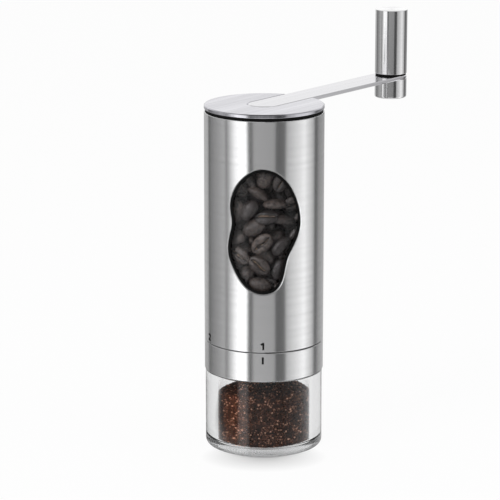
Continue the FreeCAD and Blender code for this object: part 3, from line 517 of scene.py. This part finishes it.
blacks = (0.002, 0.002, 0.002), (0.006, 0.006, 0.006)
moulded_black = grained_finish("moulded_black", 3000.0, *blacks, 0.55, 0.70, 0.00004, mirror=0.1)
rubber_black = grained_finish("rubber_black", 1800.0, *blacks, 0.60, 0.75, 0.00003, mirror=0.1)
fired_ceramic = grained_finish(
    "fired_ceramic", 2200.0, (0.74, 0.72, 0.66), (0.86, 0.85, 0.80), 0.30, 0.46, 0.00003)
bush_brass = steel_finish(
    "turned_brass", (220.0, 220.0, 1600.0), 0.0,
    (0.62, 0.44, 0.17), (0.80, 0.61, 0.28), 0.26, 0.38, 0.4)
print("grained:", moulded_black.name, rubber_black.name, fired_ceramic.name, "and", bush_brass.name)

# %% [markdown]
# ## Smoky pane and clear jar
# Both are acrylic, with a refractive index of 1.49: the pane is tinted like
# smoked glass, the jar is thick and clear, and its walls bend the background
# into bright upright lines. Glass in a render blocks lamp light, so shadow rays
# meet a tinted Transparent shader instead, and the coffee and the beans are lit.
# Light that runs a long way through the thick jar is greyed a little by a Volume
# Absorption, and a faint noise in the roughness stands for handling marks.

# %% Clear finishes
def clear_finish(name, tint, shade, haze, mirror, depth):
    """Clear acrylic: shade is for lamp light, mirror tones reflections, depth greys long ways in it."""
    finish, tree, shader, place = new_finish(name)
    marks = cloudy(tree, place, 220.0, 4.0)
    fill(shader, {
        "Base Color": tint, "Roughness": spread(tree, marks, 0.0, haze, 0.45, 0.75), "IOR": 1.49,
        "Transmission Weight": 1.0, "Specular Tint": (mirror, mirror, mirror)})
    passing = add_node(tree, "ShaderNodeBsdfTransparent", {"Color": shade})
    both = add_node(tree, "ShaderNodeMixShader", {
        0: for_rays(tree, "Shadow"), 1: shader.outputs["BSDF"], 2: passing.outputs["BSDF"]})
    end = tree.nodes["Material Output"]
    fill(end, {"Surface": both.outputs["Shader"]})
    if depth:
        inside = add_node(tree, "ShaderNodeVolumeAbsorption", {
            "Color": (0.32, 0.33, 0.34), "Density": depth})
        fill(end, {"Volume": inside.outputs["Volume"]})
    return finish


smoky_pane = clear_finish("smoky_pane", (0.65, 0.645, 0.65), (0.73, 0.725, 0.73), 0.02, 0.25, 0.0)
clear_jar = clear_finish("clear_jar", (0.985, 0.985, 0.985), (0.91, 0.91, 0.91), 0.012, 0.40, 18.0)
print("clear:", smoky_pane.name, clear_jar.name)

# %% [markdown]
# ## Handing out the finishes
# The record's slot says what a piece is made of, and four steel pieces have a
# finish of their own. Only the slot's material changes: the mesh stays as it was.

# %% Finish of every CAD piece
finish_of_slot = {
    "brushed_steel": round_steel,
    "hardware_steel": turned_steel,
    "black_plastic": moulded_black,
    "black_rubber": rubber_black,
    "smoky_acrylic": smoky_pane,
    "clear_acrylic": clear_jar,
    "burr_ceramic": fired_ceramic,
    "bush_brass": bush_brass,
}
finish_of_piece = {
    "lid_plate": lid_steel,
    "crank_arm": arm_steel,
    "grip_sleeve": grip_steel,
    "grip_foot": grip_steel,
}
slot_of_piece = {part["node"]: part["material_slot"] for part in frame["record"]["subparts"]}
for name, piece in nodes.items():
    finish = finish_of_piece.get(name, finish_of_slot[slot_of_piece[name]])
    for slot in piece.material_slots:
        slot.material = finish
print("finishes on", len(nodes), "CAD pieces")

# %% [markdown]
# ## Setting numbers and the index mark
# The sleeve's foot carries the numbers 1 to 5, going round to the left, and the
# ring a short upright line to set against them. They are printed, so each is a
# very thin black shape. Every number is drawn with a broad pen, as strokes from
# point to point; the strokes are flat at first, and then their points are
# wrapped round the sleeve.

# %% Wrap flat shapes round the sleeve
sleeve_low, sleeve_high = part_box("outer_sleeve")
sleeve_radius = sleeve_high[0]


def wrapped(points, radius, bearing, level):
    """Flat points (x along, y up, z out) laid on a cylinder, centred on a bearing from -Y."""
    laid = []
    for x, y, z in points:
        angle = bearing + x / radius
        reach = radius + z
        laid.append((reach * math.sin(angle), -reach * math.cos(angle), level + y))
    return laid


print("sleeve", round(2000 * sleeve_radius, 1), "mm across")

# %% Pen strokes
ink_depth = 0.00004


def pen_stroke(path, width):
    """A thin closed bar along a flat path: its points and faces."""
    path = [Vector(point) for point in path]
    sides = []
    for step, point in enumerate(path):
        before = (point - path[max(step - 1, 0)]).normalized()
        after = (path[min(step + 1, len(path) - 1)] - point).normalized()
        across = (before + after).normalized().orthogonal()
        reach = width / 2 / max(0.7, across.dot((after if after.length else before).orthogonal()))
        sides += [point + across * reach, point - across * reach]
    points = [(x, y, depth) for depth in (-ink_depth / 2, ink_depth / 2) for x, y in sides]
    top, last = len(sides), len(sides) - 2
    faces = [(0, 1, top + 1, top), (last, top + last, top + last + 1, last + 1)]
    for left in range(0, last, 2):
        right, next_left, next_right = left + 1, left + 2, left + 3
        faces += [
            (top + left, top + right, top + next_right, top + next_left),
            (left, next_left, next_right, right),
            (left, top + left, top + next_left, next_left),
            (right, next_right, top + next_right, top + right),
        ]
    return points, faces


print("ink", ink_depth * 1000, "mm deep")

# %% Pieces from points and faces
dial_ink = grained_finish("dial_ink", 2600.0, *blacks, 0.55, 0.70, 0.00001, mirror=0.1)


def closed_mesh(name, points, faces, smooth):
    """A mesh with its normals turned outwards."""
    mesh = bpy.data.meshes.new(name)
    mesh.from_pydata(points, [], faces)
    form = bmesh.new()
    form.from_mesh(mesh)
    bmesh.ops.recalc_face_normals(form, faces=form.faces)
    form.to_mesh(mesh)
    form.free()
    mesh.polygons.foreach_set("use_smooth", [smooth] * len(mesh.polygons))
    return mesh


def piece_from(name, points, faces, finish, smooth=False):
    """A plain mesh object at the origin."""
    mesh = closed_mesh(name, points, faces, smooth)
    mesh.materials.append(finish)
    return add_object(name, mesh)


print("ink finish", dial_ink.name)

# %% Print the numbers
number_strokes = [
    # each stroke from point to point; the number is 1 high and stands on 0
    [[(-0.26, 0.68), (-0.02, 0.87)], [(0.06, 1.0), (0.06, 0.0)]],
    [[(-0.25, 0.70), (-0.18, 0.84), (0.0, 0.89), (0.17, 0.82), (0.20, 0.65), (0.10, 0.47), (-0.22, 0.14)],
     [(-0.32, 0.11), (0.0, 0.11), (0.30, 0.11)]],
    [[(-0.26, 0.80), (-0.10, 0.89), (0.10, 0.87), (0.19, 0.74), (0.12, 0.60), (-0.06, 0.54)],
     [(-0.02, 0.52), (0.16, 0.45), (0.21, 0.28), (0.10, 0.14), (-0.10, 0.11), (-0.28, 0.20)]],
    [[(0.12, 0.0), (0.12, 1.0)], [(0.02, 0.92), (-0.24, 0.40)], [(-0.33, 0.29), (0.0, 0.29), (0.32, 0.29)]],
    [[(0.25, 0.89), (-0.18, 0.89)], [(-0.17, 0.80), (-0.20, 0.55)],
     [(-0.22, 0.52), (-0.02, 0.60), (0.16, 0.52), (0.21, 0.33), (0.12, 0.16), (-0.08, 0.11), (-0.27, 0.19)]],
]
number_height = 0.0033
pen_width = 0.25 * number_height
number_level = sleeve_low[2] + 0.0013
number_step = math.radians(64.0)
print_bearing = math.radians(-1.0)
points, faces = [], []
for number, strokes in enumerate(number_strokes):
    for path in strokes:
        path = [(x * number_height, y * number_height) for x, y in path]
        flat, loops = pen_stroke(path, pen_width)
        faces += [tuple(index + len(points) for index in loop) for loop in loops]
        points += wrapped(flat, sleeve_radius, print_bearing - number_step * number, number_level)
setting_numbers = piece_from("setting_numbers", points, faces, dial_ink)
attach(setting_numbers, "mill_body")
print("numbers 1 to", len(number_strokes), "in", len(faces), "faces")

# %% Print the index mark on the ring
mark_width, mark_foot, mark_head = 0.0009, 0.0434, 0.0466
flat, faces = pen_stroke([(0.0, mark_foot), (0.0, mark_head)], mark_width)
laid = wrapped(flat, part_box("ring_shell")[1][0], print_bearing, 0.0)
index_mark = piece_from("index_mark", laid, faces, dial_ink)
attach(index_mark, "adjust_ring")
print("index mark", mark_width * 1000, "mm wide")

# %% [markdown]
# ## One coffee bean
# A bean is half an egg: domed on one side, almost flat on the other, with a
# crease that wanders along the flat side. It is drawn as rings of points along
# its length, and the points of the flat side crowd together at the crease. Two
# versions are made, a fuller one for the window and a plain one for the depths,
# and both keep the crease as an attribute, so that the finish can colour it.

# %% Faces between rings of points
def ring_faces(rings, around):
    """Faces of a closed form: a first point, rings of points and a last point."""
    faces, last = [], 1 + rings * around
    for step in range(around):
        after = (step + 1) % around
        faces.append((0, 1 + step, 1 + after))
        for base in range(1, last - around, around):
            faces.append((base + step, base + after, base + around + after, base + around + step))
        faces.append((last - around + step, last - around + after, last))
    return faces


print("3 rings of 4 points make", len(ring_faces(3, 4)), "faces")

# %% Bean shape
bean_length, bean_width, bean_dome, bean_flat = 0.0106, 0.0074, 0.0029, 0.0017
crease_depth = 0.0011


def bean_mesh(name, rings, bearings):
    """A closed bean about the origin: X along it, +Z its domed side."""
    half_length, half_width = bean_length / 2, bean_width / 2
    points, crease = [(-half_length, 0, 0)], [0.0]
    for ring in range(1, rings):
        along = math.pi * ring / rings
        x = -half_length * math.cos(along)
        swell = math.sin(along) ** 0.85
        for bearing in bearings:
            turn = math.radians(bearing)
            y = half_width * swell * math.cos(turn)
            rise = bean_dome if bearing <= 180 else bean_flat
            z = rise * swell * math.sin(turn)
            line = y - 0.10 * half_width * math.sin(math.pi * x / half_length)
            in_crease = 0.0
            if bearing > 180:
                in_crease = math.exp(-(line / (0.15 * half_width)) ** 2)
                in_crease *= min(1.0, 2.2 * (1 - abs(x) / half_length))
            points.append((x, y, z + crease_depth * in_crease))
            crease.append(in_crease)
    points.append((half_length, 0, 0))
    crease.append(0.0)
    mesh = closed_mesh(name, points, ring_faces(rings - 1, len(bearings)), smooth=True)
    layer = mesh.attributes.new("crease", "FLOAT", "POINT")
    layer.data.foreach_set("value", crease)
    return mesh


full_bean = bean_mesh("full_bean", 16, (
    0, 22, 45, 67, 90, 112, 135, 158, 180, 205, 228, 247, 256, 262, 266, 270, 274, 278, 284, 293, 312, 335))
plain_bean = bean_mesh("plain_bean", 6, (0, 60, 120, 180, 235, 270, 305))
print("bean faces:", len(full_bean.polygons), "full,", len(plain_bean.polygons), "plain")

# %% [markdown]
# ## Letting the beans settle
# Beans in a hopper touch each other and the wall, and lie along it. A physics
# run could do this, but a few hundred steps of pushing balls apart give the
# same with nothing to bake: each bean is three balls in a row, balls that
# overlap push their beans apart, and all sink a little at each step. A few
# beans that show best in the window are laid there first, one by one from a
# list, and the rest settle round them. The seed is fixed, so the beans lie the same each time.

# %% Beans laid in the window
hopper_bore, shaft_radius, hopper_floor, hopper_fill = 0.02345, 0.0036, 0.0690, 0.138
hair = 0.0001  # the finest play, metres
shown_beans = [
    # across and up in the window (mm), lean of the bean (degrees), side towards the pane
    (-2.0, 87.0, -36, "flat"),
    (-0.8, 96.6, 47, "flat"),
    (-4.0, 103.6, 32, "dome"),
    (4.6, 113.4, -2, "edge"),
    (-12.0, 98.4, 12, "dome"),
    (-10.4, 91.0, -28, "flat"),
    (-2.8, 118.6, -34, "edge"),
    (7.4, 124.4, 62, "flat"),
    (0.2, 126.4, 84, "dome"),
    (-6.6, 125.4, -58, "edge"),
    (7.6, 106.2, -8, "edge"),
    (7.4, 95.0, 38, "dome"),
    (-1.6, 77.6, -12, "dome"),
    (6.6, 84.6, 70, "dome"),
    (-11.6, 110.6, 76, "dome"),
]
reach_of_side = {"flat": bean_flat, "dome": bean_dome, "edge": bean_width / 2}
print(len(shown_beans), "beans laid by hand")

# %% Strew the others
strewn_from, strewn_to, near_wall = 0.007, 0.0203, 0.0145  # metres from the axis


def unit(rows):
    """Rows of vectors, each made one long."""
    return rows / np.linalg.norm(rows, axis=1, keepdims=True)


def strewn_beans(count, seed):
    """Beans at random in the hopper: places and three axes each, wall beans lying flat on it."""
    rng = np.random.default_rng(seed)
    bearing = rng.uniform(0, 2 * math.pi, count)
    out = np.sqrt(rng.uniform(strewn_from ** 2, strewn_to ** 2, count))
    level = rng.uniform(hopper_floor + 0.004, hopper_fill, count)
    place = np.stack([out * np.cos(bearing), out * np.sin(bearing), level], axis=1)
    outward = np.stack([np.cos(bearing), np.sin(bearing), np.zeros(count)], axis=1)
    side = rng.choice([-1.0, 1.0], count)[:, None]
    lean = np.where(out > near_wall, 0.30, 1.5)[:, None]
    dome = unit(outward * side + lean * rng.normal(0, 1, (count, 3)))
    length = unit(np.cross(dome, rng.normal(0, 1, (count, 3))))
    for bean, (across, up, tilt, facing) in enumerate(shown_beans):
        out = hopper_bore - 4 * hair - reach_of_side[facing]
        bearing = math.asin(across / 1000 / out)
        outward = np.array([math.sin(bearing), -math.cos(bearing), 0.0])
        sideways = np.array([math.cos(bearing), math.sin(bearing), 0.0])
        place[bean] = outward * out + np.array([0.0, 0.0, up / 1000])
        lean = math.radians(tilt)
        length[bean] = sideways * math.cos(lean) + np.array([0.0, 0.0, math.sin(lean)])
        dome[bean] = {"flat": -outward, "dome": outward, "edge": np.cross(outward, length[bean])}[facing]
    return place, length, np.cross(dome, length), dome


place, length, width, dome = strewn_beans(count=240, seed=11)
print(len(place), "beans strewn")

# %% Let them settle
ball_radius = 0.0032
ball_places = np.array([-0.0021, 0.0, 0.0021])


def from_axis(rows):
    """Each row's distance from the upright axis."""
    return np.hypot(rows[:, 0], rows[:, 1])


def settle(place, length, steps=260, sink=0.00008):
    """Push overlapping balls apart, keep them in the hopper and let the beans sink."""
    owner = np.repeat(np.arange(len(place)), 3)
    laid = place[:len(shown_beans)].copy()
    for step in range(steps):
        balls = (place[:, None] + length[:, None] * ball_places[None, :, None]).reshape(-1, 3)
        square = (balls ** 2).sum(axis=1)
        apart = square[:, None] + square[None] - 2 * balls @ balls.T
        first, second = np.nonzero(np.triu(apart < (2 * ball_radius) ** 2, 1))
        other = owner[first] != owner[second]
        first, second = first[other], second[other]
        between = balls[first] - balls[second]
        distance = np.linalg.norm(between, axis=1) + 1e-9
        push = between * ((2 * ball_radius - distance) / distance * 0.25)[:, None]
        np.add.at(place, owner[first], push)
        np.add.at(place, owner[second], -push)
        out = from_axis(balls) + 1e-9
        inward = np.minimum(hopper_bore - 2 * hair - ball_radius - out, 0)
        inward += np.maximum(shaft_radius + ball_radius - out, 0)
        shift = balls * (inward / out)[:, None] * 0.4
        shift[:, 2] = np.maximum(hopper_floor + ball_radius - balls[:, 2], 0) * 0.5
        np.add.at(place, owner, shift)
        if step < steps * 0.75:
            place[:, 2] -= sink
        place[:len(shown_beans)] = laid
    return place


place = settle(place, length)
print("beans up to", (place[:, 2].max() * 1000).round(1), "mm")

# %% Keep every bean off the pane and the shaft
outline = np.array([vertex.co[:] for vertex in full_bean.vertices])
for bean in range(len(place)):
    turned = outline @ np.stack([length[bean], width[bean], dome[bean]])
    flat = np.hypot(place[bean, 0], place[bean, 1])
    outward = np.array([place[bean, 0] / flat, place[bean, 1] / flat, 0.0])
    reach = from_axis(turned + place[bean])
    place[bean] -= outward * max(reach.max() - (hopper_bore - hair), 0.0)
    reach = from_axis(turned + place[bean])
    place[bean] += outward * max(shaft_radius + hair - reach.min(), 0.0)
    place[bean, 2] += max(hopper_floor - (turned[:, 2].min() + place[bean, 2]), 0.0)
print("beans inside a bore of", hopper_bore * 1000, "mm radius")

# %% [markdown]
# ## Roasted beans by Geometry Nodes
# Every bean is the same shape at another place and turn, which is what Instance
# on Points is for. The settled beans go in as bare points that carry their turn
# as an attribute, and the tree sets a bean on each, gives each its own roast,
# and makes it all one mesh.

# %% Helpers for Geometry Nodes
def live_socket(sockets, name):
    """The socket of that name that the node's present kind of data uses."""
    return next(socket for socket in sockets if socket.name == name and socket.enabled)


def open_tree(name, inputs):
    """A Geometry Nodes tree with named inputs; returns the tree and its two end nodes."""
    geometry = [("Geometry", "Geometry")]
    return open_group(name, geometry + inputs, geometry, kind="GeometryNodeTree")


def random_between(tree, kind, low, high, seed):
    """A Random Value node; returns its value."""
    node = add_node(tree, "FunctionNodeRandomValue", data_type=kind)
    for name, source in (("Min", low), ("Max", high), ("Seed", seed)):
        feed(live_socket(node.inputs, name), source)
    return live_socket(node.outputs, "Value")


def finish_tree(tree, result, instances, attribute, seed, material):
    """A random value on each instance, then one real mesh with its material."""
    kept = add_node(tree, "GeometryNodeStoreNamedAttribute", {"Geometry": instances, "Name": attribute},
                    data_type="FLOAT", domain="INSTANCE")
    feed(live_socket(kept.inputs, "Value"), random_between(tree, "FLOAT", 0.0, 1.0, seed))
    real = add_node(tree, "GeometryNodeRealizeInstances", {"Geometry": kept.outputs["Geometry"]})
    painted = add_node(tree, "GeometryNodeSetMaterial", {
        "Geometry": real.outputs["Geometry"], "Material": material})
    fill(result, {"Geometry": painted.outputs["Geometry"]})


print("helpers for Geometry Nodes ready")

# %% Tree: a bean on every point
spread_beans, given, result = open_tree("spread_beans", [
    ("Bean", "Object"), ("Seed", "Int"), ("Finish", "Material")])
bean_shape = add_node(spread_beans, "GeometryNodeObjectInfo", {"Object": given.outputs["Bean"]})
turn = add_node(spread_beans, "GeometryNodeInputNamedAttribute", {"Name": "turn"}, data_type="QUATERNION")
set_beans = add_node(spread_beans, "GeometryNodeInstanceOnPoints", {
    "Points": given.outputs["Geometry"], "Instance": bean_shape.outputs["Geometry"],
    "Rotation": live_socket(turn.outputs, "Attribute"),
    "Scale": random_between(spread_beans, "FLOAT", 0.94, 1.0, given.outputs["Seed"])})
finish_tree(spread_beans, result, set_beans.outputs["Instances"], "roast",
            given.outputs["Seed"], given.outputs["Finish"])
print("tree", spread_beans.name, "with", len(spread_beans.nodes), "nodes")

# %% [markdown]
# ## Roast finish
# Roasted beans are dark brown with an oily gloss, no two the same, and the
# crease holds a paler skin. The roast attribute mixes two browns, a mottle
# darkens them in patches, and the crease attribute paints shade into the crease
# as a dark valley, with flecks of the pale skin in it. A wrinkled bump breaks up
# the gloss, which is a Coat over the brown: that is the oil.

# %% Roasted bean
def attribute_value(tree, name):
    """A number that the mesh carries on its points."""
    return add_node(tree, "ShaderNodeAttribute", attribute_name=name).outputs["Fac"]


roasted_bean, tree, shader, where = new_finish("roasted_bean")
roast = mix_colours(tree, attribute_value(tree, "roast"),
                    (0.038, 0.034, 0.036), (0.175, 0.138, 0.118))
mottle = cloudy(tree, where, 800.0, 4.0)
patchy = mix_colours(tree, spread(tree, mottle, 0.0, 0.75, 0.40, 0.60), roast, (0.012, 0.009, 0.008))
crease = attribute_value(tree, "crease")
# Painted shade: the crease is darkened almost to black, where shade falls in it.
painted_crease_shade = mix_colours(tree, spread(tree, crease, 0.0, 0.85, 0.05, 0.4), patchy, (0.007, 0.005, 0.004))
flecks = spread(tree, mottle, 1.0, 0.0, 0.42, 0.54)
skin = times(tree, spread(tree, crease, 0.0, 0.9, 0.5, 0.9), flecks)
fill(shader, {
    "Base Color": mix_colours(tree, skin, painted_crease_shade, (0.30, 0.21, 0.14)),
    "Roughness": spread(tree, mottle, 0.22, 0.40, 0.3, 0.7),
    "Coat Weight": 0.8, "Coat Roughness": 0.10})
roughen(tree, shader, cloudy(tree, where, 420.0, 5.0, 0.65), 0.9, 0.0008, "Normal", "Coat Normal")
print("finish", roasted_bean.name)

# %% Grow the beans
def grown_piece(name, start, tree, values):
    """Run a tree once on a mesh and keep what it makes as a plain piece."""
    carrier = add_object(name + "_start", start)
    modifier = carrier.modifiers.new(tree.name, "NODES")
    modifier.node_group = tree
    for item in tree.interface.items_tree:
        if item.in_out == "INPUT" and item.name in values:
            modifier[item.identifier] = values[item.name]
    graph = bpy.context.evaluated_depsgraph_get()
    mesh = bpy.data.meshes.new_from_object(
        carrier.evaluated_get(graph), preserve_all_data_layers=True, depsgraph=graph)
    bpy.data.objects.remove(carrier)
    mesh.name = name
    return add_object(name, mesh)


def bean_points(name, chosen):
    """Bare points for the chosen beans, each with its turn."""
    mesh = bpy.data.meshes.new(name)
    mesh.from_pydata([tuple(row) for row in place[chosen]], [], [])
    turns = mesh.attributes.new("turn", "QUATERNION", "POINT")
    for row, bean in enumerate(chosen):
        axes = Matrix((length[bean], width[bean], dome[bean])).transposed()
        turns.data[row].value = axes.to_quaternion()
    return mesh


bearing = np.degrees(np.arctan2(place[:, 0], -place[:, 1]))
near_window = (abs(bearing) < 60) & (from_axis(place) > 0.012)
for name, shape, chosen, seed in (
        ("beans_at_window", full_bean, np.flatnonzero(near_window), 5),
        ("beans_in_hopper", plain_bean, np.flatnonzero(~near_window), 6)):
    pattern = add_object(name + "_pattern", shape)
    beans = grown_piece(name, bean_points(name + "_points", chosen), spread_beans,
                        {"Bean": pattern, "Seed": seed, "Finish": roasted_bean})
    bpy.data.objects.remove(pattern)
    glinting.objects.link(beans)
    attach(beans, "mill_body")
    print(name, len(chosen), "beans,", len(beans.data.polygons), "faces")

# %% [markdown]
# ## Ground coffee in the jar
# Ground coffee falls from the middle and lies as a low cone against the jar, here
# a little higher in front and at the right. It is modelled as one closed heap,
# drawn in rings from the floor's middle up the side and over the top, with real
# lumps in its surface, and it stays a hair off the jar's wall, because the thin
# air gap gives the jar its bright walls.

# %% Heap profile
jar_bore, jar_floor = 0.0206, 0.0029
heap_radius, heap_side, heap_top = 0.0204, 0.0246, 0.0313
heap_foot, foot_rows, side_rows, top_rows = 0.0018, 4, 26, 45


def heap_profile():
    """Radius and height, from the middle of the floor round to the top."""
    profile = [(heap_radius - heap_foot, jar_floor)]
    for step in range(1, foot_rows + 1):
        turn = math.radians(90 * step / foot_rows)
        inward, upward = heap_foot * (1 - math.sin(turn)), heap_foot * (1 - math.cos(turn))
        profile.append((heap_radius - inward, jar_floor + upward))
    for step in range(1, side_rows + 1):
        rise = (heap_side - jar_floor - heap_foot) * step / side_rows
        profile.append((heap_radius, jar_floor + heap_foot + rise))
    for step in range(1, top_rows):
        out = heap_radius * (1 - step / top_rows)
        cone = heap_side + (heap_top - heap_side) * (1 - math.sqrt((out / heap_radius) ** 2 + 0.01)) / 0.9
        profile.append((out, cone))
    return profile


profile = heap_profile()
print("heap of", len(profile), "rings, top at", heap_top * 1000, "mm")

# %% Lumps on the heap
lump_sizes = [(0.0008, 140), (0.0005, 420), (0.0004, 800)]  # metres high, lumps per metre
shoulder, lift, lean_right, lean_front = 0.0008, 0.0004, 0.025, 0.1


def lumpy(x, y, z):
    """How far a point of the heap is pushed out or up, in metres."""
    here = Vector((x, y, z))
    return sum(size * noise.noise(here * lumps) for size, lumps in lump_sizes)


columns = 216
points = [(0.0, 0.0, jar_floor)]
for out, level in profile:
    on_top = min(max((level - heap_side) / shoulder, 0.0), 1.0)
    for column in range(columns):
        bearing = 2 * math.pi * column / columns
        x, y = out * math.cos(bearing), out * math.sin(bearing)
        push = lumpy(x, y, level)
        pull = 1 + 0.4 * min(push, 0.0) * (1 - on_top) / max(out, 0.001)
        lean = (lift + lean_right * x - lean_front * y) * min(level / heap_side, 1.0) ** 2
        points.append((x * pull, y * pull, level + lean + push * on_top * 1.5))
points.append((0.0, 0.0, heap_top))
faces = ring_faces(len(profile), columns)
print("heap of", len(points), "points")

# %% [markdown]
# ## Coffee grains
# The heap alone is too smooth: up close ground coffee is thousands of dark
# chips with a few pale ones, and the palest chips also stand in for painted
# glints. Distribute Points on Faces strews points that keep a distance from each
# other, and a chip with six faces goes on each, turned and stretched at random.
# A random tone on each chip picks its colour. Chips that would reach into the
# jar's wall are pressed flat against it afterwards.

# %% Ground coffee finish
ground_coffee, tree, shader, where = new_finish("ground_coffee")
speck = add_node(tree, "ShaderNodeTexVoronoi", {"Vector": where, "Scale": 2200.0})
own = add_node(tree, "ShaderNodeSeparateColor", {"Color": speck.outputs["Color"]}).outputs["Red"]
clumps = cloudy(tree, where, 480.0, 2.0)
chips = calculate(tree, "MAXIMUM", attribute_value(tree, "tone"), times(tree, own, 0.8))
tone = calculate(tree, "ADD", times(tree, chips, 0.9), spread(tree, clumps, -0.15, 0.15, 0.35, 0.65))
# The palest stop is real pale chips and also painted glints: a few chips get a bright tone in place of glints.
browns_and_painted_glints = add_node(tree, "ShaderNodeValToRGB", {"Fac": tone})
browns_and_painted_glints.color_ramp.elements.new(0.52)
browns_and_painted_glints.color_ramp.elements.new(0.76)
for element, colour in zip(browns_and_painted_glints.color_ramp.elements, (
        (0.004, 0.002, 0.001), (0.040, 0.014, 0.007), (0.160, 0.068, 0.042), (0.74, 0.42, 0.29))):
    element.color = (*colour, 1.0)
fill(shader, {
    "Base Color": browns_and_painted_glints.outputs["Color"], "Roughness": spread(tree, own, 0.5, 0.8),
    "Specular IOR Level": 0.05})
roughen(tree, shader, speck.outputs["Distance"], 0.6, 0.0003)
coffee_heap = piece_from("coffee_heap", points, faces, ground_coffee, smooth=True)
in_strip_light.objects.link(coffee_heap)
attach(coffee_heap, "jar_body")
print("coffee heap", len(coffee_heap.data.polygons), "faces")

# %% Tree: strew the grains
strew_grains, given, result = open_tree("strew_grains", [
    ("Spacing", "Float"), ("Smallest", "Float"), ("Largest", "Float"), ("Seed", "Int"), ("Finish", "Material")])
spots = add_node(strew_grains, "GeometryNodeDistributePointsOnFaces", {
    "Mesh": given.outputs["Geometry"], "Distance Min": given.outputs["Spacing"],
    "Density Max": 3.0e6, "Seed": given.outputs["Seed"]}, distribute_method="POISSON")
chip = add_node(strew_grains, "GeometryNodeMeshCube", {"Size": (1.2, 1.2, 1.2)})
seed = given.outputs["Seed"]
tumble = add_node(strew_grains, "FunctionNodeEulerToRotation", {
    0: random_between(strew_grains, "FLOAT_VECTOR", (0.0, 0.0, 0.0), (6.28, 6.28, 6.28), seed)})
size = random_between(strew_grains, "FLOAT", given.outputs["Smallest"], given.outputs["Largest"], seed)
stretch = random_between(strew_grains, "FLOAT_VECTOR", (0.55, 0.55, 0.55), (1.0, 1.0, 1.0), seed)
scaled = add_node(strew_grains, "ShaderNodeVectorMath", {0: stretch, "Scale": size}, operation="SCALE")
set_grains = add_node(strew_grains, "GeometryNodeInstanceOnPoints", {
    "Points": spots.outputs["Points"], "Instance": chip.outputs["Mesh"],
    "Rotation": tumble.outputs[0], "Scale": scaled.outputs[0]})
finish_tree(strew_grains, result, set_grains.outputs["Instances"], "tone", seed, given.outputs["Finish"])
print("tree", strew_grains.name, "with", len(strew_grains.nodes), "nodes")

# %% Strew them, and press them off the jar's wall
grains = grown_piece("coffee_grains", coffee_heap.data, strew_grains, {
    "Spacing": 0.00072, "Smallest": 0.00032, "Largest": 0.00060, "Seed": 3, "Finish": ground_coffee})
corners = np.empty(3 * len(grains.data.vertices))
grains.data.vertices.foreach_get("co", corners)
corners = corners.reshape(-1, 3)
out = np.maximum(from_axis(corners), 1e-6)
corners[:, :2] *= np.minimum(1.0, (jar_bore - hair / 2) / out)[:, None]
corners[:, 2] = np.maximum(corners[:, 2], jar_floor - hair)
grains.data.vertices.foreach_set("co", corners.ravel())
in_strip_light.objects.link(grains)
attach(grains, "jar_body")
print("coffee grains:", len(grains.data.polygons) // 6)
